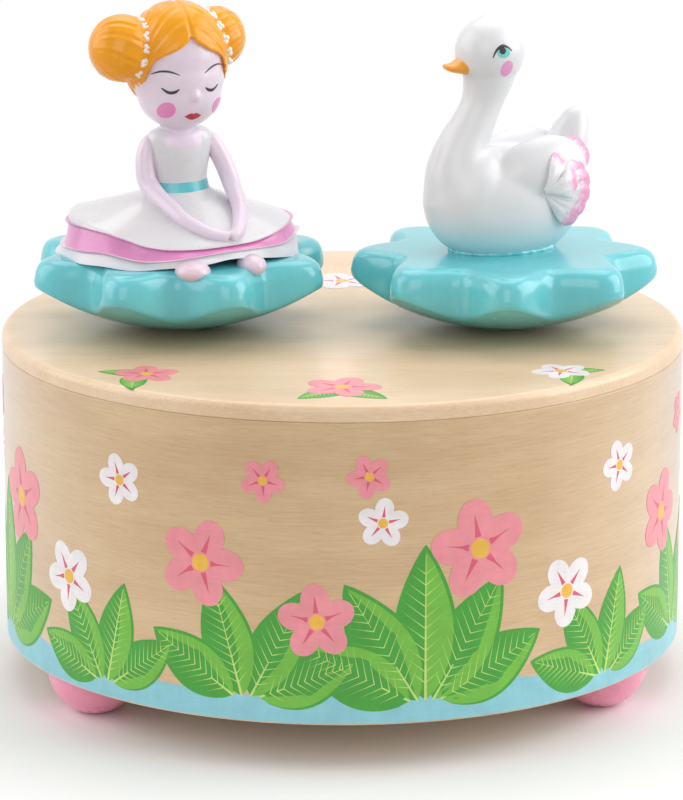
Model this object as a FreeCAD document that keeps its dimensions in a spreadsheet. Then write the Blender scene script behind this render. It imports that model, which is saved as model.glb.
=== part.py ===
# Wind-up music box: a wooden drum on three ball feet, a spring-driven comb movement inside it,
# and two magnetic figures, a ballerina and a swan, that circle on its top.
# Frame: origin on the floor under the drum's axis, +Z up, the viewer looks along +Y.
import FreeCAD, Part
import math
import os
import Sketcher

V = FreeCAD.Vector
X_AXIS = V(1, 0, 0)
Y_AXIS = V(0, 1, 0)
Z_AXIS = V(0, 0, 1)
FULL_TURN = 360.0

# Driving dimensions in millimetres, degrees and counts
SIZES = {
    # Wooden case
    "foot_height": 8.0,
    "foot_radius": 8.2,
    "foot_inset": 9.0,
    "foot_turn": -27.5,
    "drum_radius": 60.0,
    "drum_height": 55.0,
    "wall": 5.5,
    "wall_bevel": 0.6,
    "plate_thickness": 2.8,
    "plate_round": 1.2,
    "spigot_depth": 2.0,
    "spigot_width": 3.6,
    "glue_gap": 0.15,
    "base_thickness": 12.0,
    "key_well_radius": 23.0,
    "key_well_depth": 7.5,
    "shaft_hole_radius": 4.5,
    # Wood screws
    "screw_radius": 1.25,
    "screw_head_radius": 2.4,
    "screw_head_height": 1.3,
    "foot_screw_bite": 5.0,
    "bed_screw_bite": 3.8,
    # Movement bedplate
    "bed_thickness": 2.0,
    "bed_left": 20.0,
    "bed_end_margin": 0.7,
    "bed_back_margin": 0.45,
    "bed_corner": 5.0,
    "bed_screw_inset": 4.2,
    "bed_screw_shift": 10.0,
    # Spring motor
    "shaft_radius": 2.0,
    "running_gap": 0.05,
    "end_play": 0.3,
    "case_radius": 13.5,
    "case_height": 12.0,
    "case_wall": 0.8,
    "case_flange": 3.0,
    "arbor_radius": 2.6,
    "spring_strip": 0.4,
    "spring_turns": 7.0,
    "spring_height": 9.5,
    "ratchet_radius": 7.0,
    "ratchet_thickness": 0.6,
    # Winding key
    "key_hub_radius": 3.6,
    "key_hub_height": 8.0,
    "key_wing_radius": 6.2,
    "key_wing_reach": 8.0,
    "key_wing_thickness": 2.0,
    "key_eye_radius": 2.4,
    "key_floor_gap": 1.4,
    # Crown wheel and cylinder pinion
    "crown_teeth": 36.0,
    "crown_case_gap": 1.5,
    "crown_face": 3.0,
    "crown_tooth_height": 2.2,
    "crown_disc": 2.0,
    "crown_hub_radius": 4.2,
    "crown_lift": 0.8,
    "pinion_teeth": 12.0,
    "tooth_tip": 0.6,
    "tooth_root": 1.1,
    "tooth_gap": 0.15,
    "post_radius": 2.0,
    "post_seat": 5.0,
    # Pinned cylinder and comb
    "arbor_pin_radius": 1.2,
    "cylinder_radius": 6.5,
    "cylinder_length": 18.0,
    "pin_height": 0.8,
    "pin_radius": 0.25,
    "bearing_thickness": 1.2,
    "bearing_half_width": 4.0,
    "side_gap": 0.4,
    "comb_teeth": 18.0,
    "comb_thickness": 1.0,
    "comb_tooth_length": 9.5,
    "comb_slot": 0.3,
    "comb_body": 7.0,
    "comb_tip_gap": 0.25,
    # Air-brake governor
    "fine_module": 0.3,
    "cylinder_wheel_teeth": 50.0,
    "idler_teeth": 10.0,
    "fine_face": 1.2,
    "worm_module": 0.4,
    "worm_wheel_teeth": 24.0,
    "worm_pitch_radius": 1.4,
    "worm_thread_length": 6.5,
    "worm_pivot_radius": 0.5,
    "fan_reach": 4.4,
    "fan_height": 2.4,
    "fan_thickness": 0.5,
    "bridge_width": 4.0,
    "bridge_leg": 2.1,
    # Magnet arm under the top
    "figure_circle": 28.5,
    "arm_width": 8.0,
    "arm_thickness": 3.0,
    "cup_wall": 1.4,
    "magnet_radius": 5.0,
    "magnet_thickness": 4.0,
    "magnet_gap": 0.8,
    "bush_radius": 5.0,
    "bush_height": 2.6,
    # Star bases of the figures
    "rest_gap": 0.0,
    "star_points": 8.0,
    "star_tip": 27.0,
    "star_valley": 21.0,
    "tip_round": 3.4,
    "valley_round": 3.0,
    "dome_radius": 46.0,
    "star_height": 13.55,
    "star_round": 1.6,
    "figure_magnet_thickness": 3.0,
    # Ballerina, above the top of her base
    "ballerina_turn": 22.0,
    "skirt_radius": 20.2,
    "skirt_waves": 9.0,
    "skirt_wave_depth": 0.7,
    "petticoat_height": 2.4,
    "hem_height": 3.6,
    "skirt_rise": 4.2,
    "skirt_tilt": 7.0,
    "waist_width": 9.4,
    "waist_depth": 7.4,
    "bodice_height": 8.6,
    "shoulder_width": 10.4,
    "shoulder_depth": 6.4,
    "belt_height": 1.8,
    "belt_stand": 0.35,
    "neck_radius": 3.2,
    "neck_height": 8.8,
    "head_width": 16.6,
    "head_depth": 16.8,
    "head_height": 18.4,
    "head_lean": 1.5,
    "chin_drop": 5.6,
    "hair_stand": 0.8,
    "bun_radius": 6.0,
    "bun_spread": 8.7,
    "garland_radius": 0.75,
    "arm_radius": 1.5,
    "hand_reach": 13.0,
    "hand_drop": 1.1,
    "toe_width": 6.2,
    "toe_length": 7.6,
    "toe_height": 4.2,
    "toe_spread": 4.6,
    "toe_reach": 17.6,
    # Swan, above the top of its base
    "swan_turn": -65.0,
    "swan_length": 29.0,
    "swan_width": 19.4,
    "swan_height": 18.6,
    "swan_sink": 0.6,
    "swan_neck_radius": 4.3,
    "swan_throat_radius": 3.5,
    "swan_head_width": 11.2,
    "swan_head_length": 12.4,
    "swan_head_height": 13.4,
    "swan_head_level": 34.2,
    "swan_head_ahead": 3.2,
    "beak_length": 5.6,
    "beak_width": 5.4,
    "beak_height": 4.6,
    "wing_feathers": 5.0,
    "wing_spread": 112.0,
    "wing_root_back": 1.6,
    "wing_root_level": 11.6,
    "feather_length": 11.0,
    "feather_thickness": 3.0,
    "tail_length": 11.0,
    "tail_width": 8.4,
    "tail_thickness": 4.4,
}

doc = FreeCAD.newDocument("music_box")
sheet = doc.addObject("Spreadsheet::Sheet", "Sizes")
for row, (alias, number) in enumerate(SIZES.items(), start=1):
    sheet.set(f"A{row}", alias)
    sheet.set(f"B{row}", str(number))
    sheet.setAlias(f"B{row}", alias)
doc.recompute()


class Size:
    """A length known both as a number and as the expression that ties it to the sheet."""

    def __init__(self, value, text):
        self.value = float(value)
        self.text = text

    def joined(self, other, sign, value, swapped=False):
        """The Size of two terms joined by an arithmetic sign."""
        first, second = (other, self) if swapped else (self, other)
        return Size(value, f"({first.text} {sign} {second.text})")

    def __add__(self, other):
        other = as_size(other)
        return self.joined(other, "+", self.value + other.value)

    def __sub__(self, other):
        other = as_size(other)
        return self.joined(other, "-", self.value - other.value)

    def __mul__(self, other):
        other = as_size(other)
        return self.joined(other, "*", self.value * other.value)

    def __truediv__(self, other):
        other = as_size(other)
        return self.joined(other, "/", self.value / other.value)

    def __radd__(self, other):
        return as_size(other) + self

    def __rsub__(self, other):
        return as_size(other) - self

    def __rmul__(self, other):
        return as_size(other) * self

    def __neg__(self):
        return Size(-self.value, f"(-1 * {self.text})")

    def __float__(self):
        return self.value


def as_size(number):
    """A plain number as a Size, so that both kinds can be mixed."""
    return number if isinstance(number, Size) else Size(number, repr(float(number)))


class Sheet:
    """Reads the spreadsheet's cells by name as Sizes."""

    def __getattr__(self, alias):
        return Size(sheet.get(alias), f"Sizes.{alias}")


s = Sheet()
pieces = {}


# Helpers for placing, naming and binding
def at(x=0, y=0, z=0, axis=Z_AXIS, angle=0):
    """A placement at a point, turned about an axis through that point."""
    return FreeCAD.Placement(V(float(x), float(y), float(z)), FreeCAD.Rotation(axis, float(angle)))


def bind(obj, **properties):
    """Ties an object's properties to the sheet."""
    for name, size in properties.items():
        size = as_size(size)
        setattr(obj, name, size.value)
        obj.setExpression(name, size.text)
    return obj


def piece(label, obj):
    """Names a finished sub-part, which is written to its own file."""
    obj.Label = label
    pieces[label] = obj
    return obj


def solid_feature(name, shape, place=None):
    """A sub-part whose shape is a loft or a winding, made from the sheet's values."""
    obj = doc.addObject("Part::Feature", name)
    obj.Shape = shape
    if place:
        obj.Placement = place
    return obj


def cylinder(name, radius, height, place):
    obj = doc.addObject("Part::Cylinder", name)
    bind(obj, Radius=radius, Height=height)
    obj.Placement = place
    return obj


def box(name, low, high):
    """A block between two corners."""
    obj = doc.addObject("Part::Box", name)
    low = [as_size(c) for c in low]
    high = [as_size(c) for c in high]
    bind(obj, Length=high[0] - low[0], Width=high[1] - low[1], Height=high[2] - low[2])
    obj.Placement = at(*low)
    return obj


def ellipsoid(name, width, depth, height, place):
    """An ellipsoid by its full width (X), depth (Y) and height (Z)."""
    obj = doc.addObject("Part::Ellipsoid", name)
    bind(obj, Radius1=height / 2, Radius2=width / 2, Radius3=depth / 2)
    obj.Placement = place
    return obj


def sphere(name, radius, place):
    obj = doc.addObject("Part::Sphere", name)
    bind(obj, Radius=radius)
    obj.Placement = place
    return obj


def cut(name, base, *tools):
    """The base with each tool taken away."""
    for number, tool in enumerate(tools):
        obj = doc.addObject("Part::Cut", f"{name}_{number}")
        obj.Base = base
        obj.Tool = tool
        base = obj
    return base


def fuse(name, *members):
    obj = doc.addObject("Part::MultiFuse", name)
    obj.Shapes = list(members)
    return obj


def common(name, first, second):
    obj = doc.addObject("Part::Common", name)
    obj.Base = first
    obj.Tool = second
    return obj


def group(name, *members):
    """Separate solids that share one node."""
    obj = doc.addObject("Part::Compound", name)
    obj.Links = list(members)
    return obj


# Helpers for bodies made from sketches
def new_body(name):
    return doc.addObject("PartDesign::Body", name)


def sketch_on(body, role, name):
    """An empty sketch on one of its body's own origin planes."""
    sketch = body.newObject("Sketcher::SketchObject", name)
    plane = next(f for f in body.Origin.OriginFeatures if f.Role == role)
    sketch.AttachmentSupport = [(plane, "")]
    sketch.MapMode = "FlatFace"
    return sketch


def tie(sketch, number, size):
    """Binds one constraint of a sketch to the sheet."""
    sketch.setExpression(f"Constraints[{number}]", as_size(size).text)


def draw_outline(sketch, corners):
    """A closed outline of straight lines, each corner held by its two coordinates."""
    first = sketch.GeometryCount
    count = len(corners)
    points = [V(float(u), float(w), 0) for u, w in corners]
    for i in range(count):
        sketch.addGeometry(Part.LineSegment(points[i], points[(i + 1) % count]), False)
    for i in range(count):
        following = first + (i + 1) % count
        sketch.addConstraint(Sketcher.Constraint("Coincident", first + i, 2, following, 1))
    for i, (u, w) in enumerate(corners):
        across = Sketcher.Constraint("DistanceX", -1, 1, first + i, 1, float(u))
        tie(sketch, sketch.addConstraint(across), u)
        up = Sketcher.Constraint("DistanceY", -1, 1, first + i, 1, float(w))
        tie(sketch, sketch.addConstraint(up), w)


def draw_circle(sketch, u, w, radius):
    """A circle held by its centre's coordinates and its radius."""
    number = sketch.GeometryCount
    sketch.addGeometry(Part.Circle(V(float(u), float(w), 0), Z_AXIS, float(radius)), False)
    for kind, size in (("DistanceX", u), ("DistanceY", w)):
        held = Sketcher.Constraint(kind, -1, 1, number, 3, float(size))
        tie(sketch, sketch.addConstraint(held), size)
    held = Sketcher.Constraint("Radius", number, float(radius))
    tie(sketch, sketch.addConstraint(held), radius)


def turned(name, profile):
    """A body turned about Z from an outline of (radius, height) corners."""
    body = new_body(name)
    sketch = sketch_on(body, "XZ_Plane", name + "_profile")
    draw_outline(sketch, profile)
    turn = body.newObject("PartDesign::Revolution", name + "_turn")
    turn.Profile = sketch
    turn.ReferenceAxis = (sketch, ["V_Axis"])
    turn.Angle = FULL_TURN
    return body


def pad(body, name, height, outlines=(), circles=(), base=0, role="XY_Plane"):
    """Pads outlines and circles of one plane, from base up by height."""
    sketch = sketch_on(body, role, name + "_sketch")
    for corners in outlines:
        draw_outline(sketch, corners)
    for circle in circles:
        draw_circle(sketch, *circle)
    base = as_size(base)
    sketch.AttachmentOffset = at(z=base)
    sketch.setExpression("AttachmentOffset.Base.z", base.text)
    feature = body.newObject("PartDesign::Pad", name)
    feature.Profile = sketch
    bind(feature, Length=height)
    return feature


def pocket(body, name, depth, outlines=(), circles=(), base=0, role="XY_Plane"):
    """Cuts outlines and circles upward from base by depth, and checks that material went."""
    doc.recompute()
    before = body.Shape.Volume
    sketch = sketch_on(body, role, name + "_sketch")
    for corners in outlines:
        draw_outline(sketch, corners)
    for circle in circles:
        draw_circle(sketch, *circle)
    base = as_size(base)
    sketch.AttachmentOffset = at(z=base)
    sketch.setExpression("AttachmentOffset.Base.z", base.text)
    feature = body.newObject("PartDesign::Pocket", name)
    feature.Profile = sketch
    feature.Reversed = True
    bind(feature, Length=depth)
    doc.recompute()
    assert body.Shape.Volume < before, f"{name} cut nothing"
    return feature


def polar(body, name, feature, sketch, count):
    """Repeats a feature round Z."""
    doc.recompute()
    pattern = body.newObject("PartDesign::PolarPattern", name)
    pattern.Originals = [feature]
    pattern.Axis = (sketch, ["N_Axis"])
    pattern.Angle = FULL_TURN
    pattern.Occurrences = round(float(count))
    pattern.setExpression("Occurrences", as_size(count).text)
    body.Tip = pattern
    return pattern


def round_edges(body, name, radius, chosen):
    """Rounds the edges of a body that the chosen test picks out."""
    doc.recompute()
    blank = body.Tip
    picked = [f"Edge{number}" for number, edge in enumerate(blank.Shape.Edges, start=1) if chosen(edge.BoundBox)]
    rounding = body.newObject("PartDesign::Fillet", name)
    rounding.Base = (blank, picked)
    bind(rounding, Radius=radius)


def rectangle(left, right, low, high):
    return [(left, low), (right, low), (right, high), (left, high)]


# Levels and fits that follow from the driving dimensions
top_level = s.foot_height + s.drum_height
plate_bottom = top_level - s.plate_thickness
base_top = s.foot_height + s.base_thickness
wall_inner = s.drum_radius - s.wall
fitted_radius = wall_inner - s.glue_gap
foot_circle = s.drum_radius - s.foot_inset
bed_top = base_top + s.bed_thickness
case_top = bed_top + s.case_height
shaft_bore = s.shaft_radius + s.running_gap
ratchet_bottom = case_top + s.end_play
ratchet_top = ratchet_bottom + s.ratchet_thickness
crown_tip_level = case_top + s.crown_lift
crown_root_level = crown_tip_level + s.crown_tooth_height
crown_top = crown_root_level + s.crown_disc
crown_hub_bottom = ratchet_top + s.end_play
crown_inner = s.case_radius + s.crown_case_gap
crown_outer = crown_inner + s.crown_face
crown_pitch_radius = (crown_inner + crown_outer) / 2
pinion_pitch_radius = crown_pitch_radius * s.pinion_teeth / s.crown_teeth
cylinder_level = crown_tip_level + s.crown_tooth_height / 2 - pinion_pitch_radius
shaft_top = crown_top + s.end_play
post_bottom = shaft_top + s.end_play
hub_top = post_bottom + s.post_seat
magnet_top = plate_bottom - s.magnet_gap
magnet_bottom = magnet_top - s.magnet_thickness
arm_bottom = magnet_bottom - s.arm_thickness
bush_bottom = plate_bottom - s.bush_height
post_top = plate_bottom - s.end_play
star_bottom = top_level + s.rest_gap
star_top = star_bottom + s.star_height


# Wooden case
def make_drum_wall():
    """The bent-wood ring, bevelled where the top plate sits on it."""
    body = turned(
        "wall_ring",
        [
            (wall_inner, s.foot_height),
            (s.drum_radius - s.wall_bevel / 2, s.foot_height),
            (s.drum_radius, s.foot_height + s.wall_bevel / 2),
            (s.drum_radius, plate_bottom - s.wall_bevel),
            (s.drum_radius - s.wall_bevel, plate_bottom),
            (wall_inner, plate_bottom),
        ],
    )
    piece("drum_wall", body)


def make_top_plate():
    """A thin plywood disc with a rounded rim, and a spigot ring under it that centres it in the wall."""
    body = turned(
        "plate_disc",
        [
            (0, plate_bottom),
            (s.drum_radius, plate_bottom),
            (s.drum_radius, top_level),
            (0, top_level),
        ],
    )
    rim_inside = s.drum_radius.value - s.plate_round.value
    round_edges(body, "plate_rim", s.plate_round,
                lambda edge: edge.ZMin > plate_bottom.value + 0.01 and edge.XMax > rim_inside)
    piece("top_plate", body)
    spigot_bottom = plate_bottom - s.spigot_depth
    spigot_inner = fitted_radius - s.spigot_width
    spigot = turned("spigot_ring", rectangle(spigot_inner, fitted_radius, spigot_bottom, plate_bottom))
    piece("plate_spigot", spigot)


FEET = ("front_right", "rear", "front_left")


def foot_spot(number):
    """The centre of one foot: they are spread evenly on the foot circle, from the front right one on."""
    angle = math.radians(s.foot_turn.value + FULL_TURN * number / len(FEET))
    return foot_circle * math.cos(angle), foot_circle * math.sin(angle)


def bed_screw_spots():
    """The four screw places near the bedplate's corners, one of them moved aside for the governor."""
    left = -s.bed_left + s.bed_screw_inset
    right = bed_right - s.bed_screw_inset
    front = bed_front + s.bed_screw_inset
    back = bed_back - s.bed_screw_inset
    return [(left, front), (right - s.bed_screw_shift, front), (right, back), (left, back)]


def screw(name, x, y, head_top, length):
    """A wood screw that points down, with a flat round head."""
    head = cylinder(name + "_head", s.screw_head_radius, s.screw_head_height,
                    at(x, y, head_top - s.screw_head_height))
    shank = cylinder(name + "_shank", s.screw_radius, length - s.screw_head_height,
                     at(x, y, head_top - length))
    return fuse(name, head, shank)


def make_base_plate():
    """A thick disc inside the wall, with a well for the key and seats for all its screws."""
    body = turned(
        "base_disc",
        [
            (s.shaft_hole_radius, s.foot_height + s.key_well_depth),
            (s.key_well_radius, s.foot_height + s.key_well_depth),
            (s.key_well_radius, s.foot_height),
            (fitted_radius, s.foot_height),
            (fitted_radius, base_top),
            (s.shaft_hole_radius, base_top),
        ],
    )
    holes = []
    for number, name in enumerate(FEET):
        x, y = foot_spot(number)
        holes.append(cylinder(f"base_{name}_shank", s.screw_radius, s.base_thickness, at(x, y, s.foot_height)))
        holes.append(cylinder(f"base_{name}_seat", s.screw_head_radius, s.screw_head_height,
                              at(x, y, base_top - s.screw_head_height)))
    for number, (x, y) in enumerate(bed_screw_spots()):
        holes.append(cylinder(f"base_bed_pilot_{number}", s.screw_radius, s.bed_screw_bite,
                              at(x, y, base_top - s.bed_screw_bite)))
    piece("base_plate", cut("base_drilled", body, fuse("base_holes", *holes)))


def make_feet():
    """Half balls with a small flat to stand on, each held by a screw from inside the drum."""
    screws = []
    for number, name in enumerate(FEET):
        x, y = foot_spot(number)
        ball = sphere(f"ball_{name}", s.foot_radius, at(x, y, s.foot_height))
        flat = math.degrees(math.asin(s.foot_height.value / s.foot_radius.value))
        ball.Angle1 = -flat
        ball.setExpression("Angle1", f"-asin({s.foot_height.text} / {s.foot_radius.text})")
        ball.Angle2 = 0
        pilot = cylinder(f"pilot_{name}", s.screw_radius, s.foot_screw_bite,
                         at(x, y, s.foot_height - s.foot_screw_bite))
        piece(f"foot_{name}", cut(f"foot_{name}", ball, pilot))
        screws.append(screw(f"foot_screw_{name}", x, y, base_top, s.base_thickness + s.foot_screw_bite))
    piece("foot_screws", group("foot_screw_set", *screws))


# Movement frame
def make_bedplate():
    """The flat metal bed that carries the whole movement."""
    body = new_body("bed")
    corners = rectangle(-s.bed_left, bed_right, bed_front, bed_back)
    pad(body, "bed_plate", s.bed_thickness, [corners], base=base_top)
    round_edges(body, "bed_corners", s.bed_corner,
                lambda edge: edge.ZLength > s.bed_thickness.value / 2)
    circles = [(0, 0, shaft_bore)]
    circles += [(x, y, s.screw_radius) for x, y in bed_screw_spots()]
    circles += [(worm_x, worm_y, s.worm_pivot_radius + s.running_gap)]
    pocket(body, "bed_holes", s.bed_thickness, circles=circles, base=base_top)
    piece("movement_bedplate", body)
    screws = [
        screw(f"bed_screw_{number}", x, y, bed_top + s.screw_head_height,
              s.screw_head_height + s.bed_thickness + s.bed_screw_bite)
        for number, (x, y) in enumerate(bed_screw_spots())
    ]
    piece("movement_screws", group("bed_screw_set", *screws))


# Spring motor and winding key
def make_spring_case():
    """The pressed can round the mainspring, flanged at its foot."""
    outer = s.case_radius
    inner = s.case_radius - s.case_wall
    body = turned(
        "spring_can",
        [
            (inner, bed_top),
            (outer + s.case_flange, bed_top),
            (outer + s.case_flange, bed_top + s.case_wall),
            (outer, bed_top + s.case_wall),
            (outer, case_top),
            (shaft_bore, case_top),
            (shaft_bore, case_top - s.case_wall),
            (inner, case_top - s.case_wall),
        ],
    )
    piece("spring_case", body)


def make_mainspring():
    """A flat strip coiled from the arbor out to the can, as half circles that grow by half a step each."""
    inner = s.arbor_radius.value + s.end_play.value
    outer = s.case_radius.value - s.case_wall.value - s.end_play.value
    strip = s.spring_strip.value
    halves = round(2 * s.spring_turns.value)
    step = (outer - strip - inner) / (halves / 2)

    def coil(offset):
        """One side of the strip: half circles about two centres a quarter step either side of the axis."""
        arcs = []
        for half in range(halves):
            side = 1 if half % 2 == 0 else -1
            radius = inner + offset + step * (half / 2 + 0.25)
            centre = V(-side * step / 4, 0, 0)
            start = centre + V(side * radius, 0, 0)
            middle = centre + V(0, side * radius, 0)
            end = centre - V(side * radius, 0, 0)
            arcs.append(Part.Arc(start, middle, end).toShape())
        return arcs

    inside = coil(0)
    outside = coil(strip)
    first = Part.LineSegment(inside[0].Vertexes[0].Point, outside[0].Vertexes[0].Point).toShape()
    last = Part.LineSegment(inside[-1].Vertexes[-1].Point, outside[-1].Vertexes[-1].Point).toShape()
    wire = Part.Wire(Part.__sortEdges__([first, *outside, last, *inside]))
    print("mainspring: least gap between turns", round(step - strip, 3), "mm")
    strip_solid = Part.Face(wire).extrude(V(0, 0, s.spring_height.value))
    piece("mainspring", solid_feature("spring_strip", strip_solid, at(z=bed_top)))


def make_winding_shaft():
    """The key's shaft, thicker where the mainspring hooks on to it."""
    shaft_bottom = s.key_floor_gap + s.key_wing_radius * 2 - s.key_hub_height / 2
    body = turned(
        "shaft",
        [
            (0, shaft_bottom),
            (s.shaft_radius, shaft_bottom),
            (s.shaft_radius, bed_top + s.end_play),
            (s.arbor_radius, bed_top + s.end_play),
            (s.arbor_radius, case_top - s.case_wall - s.end_play),
            (s.shaft_radius, case_top - s.case_wall - s.end_play),
            (s.shaft_radius, shaft_top),
            (0, shaft_top),
        ],
    )
    piece("winding_shaft", body)


def make_winding_key():
    """A butterfly key in the well under the drum: a hub on the shaft and two pierced wings."""
    wing_level = s.key_floor_gap + s.key_wing_radius
    hub_bottom = wing_level + s.key_wing_radius - s.key_hub_height / 2
    members = [cylinder("key_hub", s.key_hub_radius, s.key_hub_height, at(z=hub_bottom))]
    eyes = [cylinder("key_bore", s.shaft_radius, s.key_hub_height, at(z=hub_bottom))]
    front = -s.key_wing_thickness / 2
    for side, name in ((1, "right"), (-1, "left")):
        spot = at(side * s.key_wing_reach, front + s.key_wing_thickness, wing_level, X_AXIS, 90)
        members.append(cylinder(f"key_wing_{name}", s.key_wing_radius, s.key_wing_thickness, spot))
        eyes.append(cylinder(f"key_eye_{name}", s.key_eye_radius, s.key_wing_thickness, spot))
    web = box("key_web", (-s.key_wing_reach, front, wing_level - s.key_hub_radius),
              (s.key_wing_reach, -front, wing_level + s.key_wing_radius))
    blank = fuse("key_blank", web, *members)
    piece("winding_key", cut("key_cut", blank, fuse("key_holes", *eyes)))


def make_ratchet_washer():
    """The star washer on the shaft that drives the crown wheel one way and slips the other."""
    body = new_body("ratchet")
    ring = s.ratchet_radius / 2
    pad(body, "ratchet_ring", s.ratchet_thickness, circles=[(0, 0, ring), (0, 0, s.shaft_radius)],
        base=ratchet_bottom)
    half = s.ratchet_radius / 7
    finger = pad(body, "ratchet_finger", s.ratchet_thickness,
                 [rectangle(ring - half, s.ratchet_radius, -half, half)], base=ratchet_bottom)
    polar(body, "ratchet_fingers", finger, finger.Profile[0], 6)
    piece("ratchet_washer", body)


# Crown wheel, post and magnet arm
def make_crown_wheel():
    """The main wheel: a disc whose teeth point down at the pinion, on a hub that carries the post."""
    body = turned(
        "crown",
        [
            (shaft_bore, crown_hub_bottom),
            (s.crown_hub_radius, crown_hub_bottom),
            (s.crown_hub_radius, crown_root_level),
            (crown_outer, crown_root_level),
            (crown_outer, crown_top),
            (s.crown_hub_radius, crown_top),
            (s.crown_hub_radius, hub_top),
            (s.post_radius, hub_top),
            (s.post_radius, post_bottom),
            (shaft_bore, post_bottom),
        ],
    )
    sketch = sketch_on(body, "YZ_Plane", "crown_tooth_sketch")
    draw_outline(sketch, [
        (-s.tooth_root / 2, crown_root_level + s.crown_disc / 4),
        (-s.tooth_tip / 2, crown_tip_level),
        (s.tooth_tip / 2, crown_tip_level),
        (s.tooth_root / 2, crown_root_level + s.crown_disc / 4),
    ])
    sketch.AttachmentOffset = at(z=crown_inner)
    sketch.setExpression("AttachmentOffset.Base.z", crown_inner.text)
    tooth = body.newObject("PartDesign::Pad", "crown_tooth")
    tooth.Profile = sketch
    bind(tooth, Length=crown_outer - crown_inner)
    flat = sketch_on(body, "XY_Plane", "crown_axis")
    polar(body, "crown_teeth", tooth, flat, s.crown_teeth)
    piece("crown_wheel", body)
    piece("output_post", cylinder("post", s.post_radius, post_top - post_bottom, at(z=post_bottom)))


def make_magnet_arm():
    """The turning bar under the top plate, with a cup and a disc magnet below each figure."""
    body = new_body("arm")
    half = s.arm_width / 2
    cup = s.magnet_radius + s.cup_wall
    pad(body, "arm_bar", s.arm_thickness, [rectangle(-s.figure_circle, s.figure_circle, -half, half)],
        base=arm_bottom)
    pad(body, "arm_hub", s.arm_thickness, circles=[(0, 0, cup)], base=arm_bottom)
    for name, x in (("left", -s.figure_circle), ("right", s.figure_circle)):
        pad(body, f"arm_cup_{name}", magnet_top - arm_bottom - s.magnet_thickness / 4,
            circles=[(x, 0, cup)], base=arm_bottom)
        pocket(body, f"arm_seat_{name}", s.magnet_thickness, circles=[(x, 0, s.magnet_radius)],
               base=magnet_bottom)
    pocket(body, "arm_bore", s.arm_thickness, circles=[(0, 0, s.post_radius)], base=arm_bottom)
    piece("magnet_arm", body)
    magnets = [
        cylinder(f"arm_magnet_{name}", s.magnet_radius, s.magnet_thickness, at(x, 0, magnet_bottom))
        for name, x in (("left", -s.figure_circle), ("right", s.figure_circle))
    ]
    piece("arm_magnets", group("arm_magnet_pair", *magnets))
    bush = new_body("bush")
    pad(bush, "bush_ring", s.bush_height,
        circles=[(0, 0, s.bush_radius), (0, 0, s.post_radius + s.running_gap)], base=bush_bottom)
    piece("top_bush", bush)


# Spur gears on axes along X
def gear(name, teeth, pitch_radius, addendum, dedendum, tip, root, width, bore):
    """A spur gear about Z with straight-sided teeth, its first tooth on +X."""
    body = new_body(name)
    root_radius = pitch_radius - dedendum
    tip_radius = pitch_radius + addendum
    pad(body, name + "_blank", width, circles=[(0, 0, root_radius), (0, 0, bore)])
    sink = dedendum / 4
    tooth = pad(body, name + "_tooth", width, [[
        (root_radius - sink, -root / 2),
        (tip_radius, -tip / 2),
        (tip_radius, tip / 2),
        (root_radius - sink, root / 2),
    ]])
    polar(body, name + "_teeth", tooth, tooth.Profile[0], teeth)
    return body


def along_x(x, y, z, spin=0.0):
    """A placement that lays a piece's Z axis along X, turned by spin degrees about its own axis."""
    lay = FreeCAD.Rotation(Y_AXIS, 90).multiply(FreeCAD.Rotation(Z_AXIS, float(spin)))
    return FreeCAD.Placement(V(float(x), float(y), float(z)), lay)


# Stations along the cylinder's axis, and the axes of the governor
pinion_start = crown_inner - s.side_gap
pinion_end = crown_outer + s.side_gap
inner_bearing_start = pinion_end + s.side_gap
cylinder_start = inner_bearing_start + s.bearing_thickness + s.side_gap
cylinder_end = cylinder_start + s.cylinder_length
wheel_start = cylinder_end + s.side_gap * 2
wheel_end = wheel_start + s.fine_face
frame_start = wheel_end + s.side_gap
frame_end = frame_start + s.bearing_thickness
worm_wheel_start = frame_end + s.side_gap * 2
worm_wheel_end = worm_wheel_start + s.fine_face
tail_start = worm_wheel_end + s.side_gap * 4
tail_end = tail_start + s.bearing_thickness
bed_right = tail_end + s.bed_end_margin
wheel_pitch_radius = s.fine_module * s.cylinder_wheel_teeth / 2
idler_pitch_radius = s.fine_module * s.idler_teeth / 2
idler_y = -(wheel_pitch_radius + idler_pitch_radius)
worm_wheel_radius = s.worm_module * s.worm_wheel_teeth / 2
worm_x = (worm_wheel_start + worm_wheel_end) / 2
worm_y = idler_y - worm_wheel_radius - s.worm_pitch_radius
bridge_back = worm_y - s.fan_reach - s.side_gap
bridge_front = bridge_back - s.bridge_leg
bed_front = bridge_front - s.side_gap
comb_tip = s.cylinder_radius + s.pin_height + s.comb_tip_gap
comb_root = comb_tip + s.comb_tooth_length
comb_back = comb_root + s.comb_body
bed_back = comb_back + s.bed_back_margin
fine_addendum = s.fine_module * 0.9
fine_dedendum = s.fine_module * 1.2
fine_tip = s.fine_module * 0.7
fine_root = s.fine_module * 1.3
worm_depth = s.worm_module * 1.6
bearing_bore = s.arbor_pin_radius + s.running_gap
bearing_top = cylinder_level + s.bearing_half_width
fan_bottom = cylinder_level + worm_wheel_radius + worm_depth
fan_top = fan_bottom + s.fan_height
bridge_bottom = fan_top + s.side_gap
bridge_top = bridge_bottom + s.bearing_thickness


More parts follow.
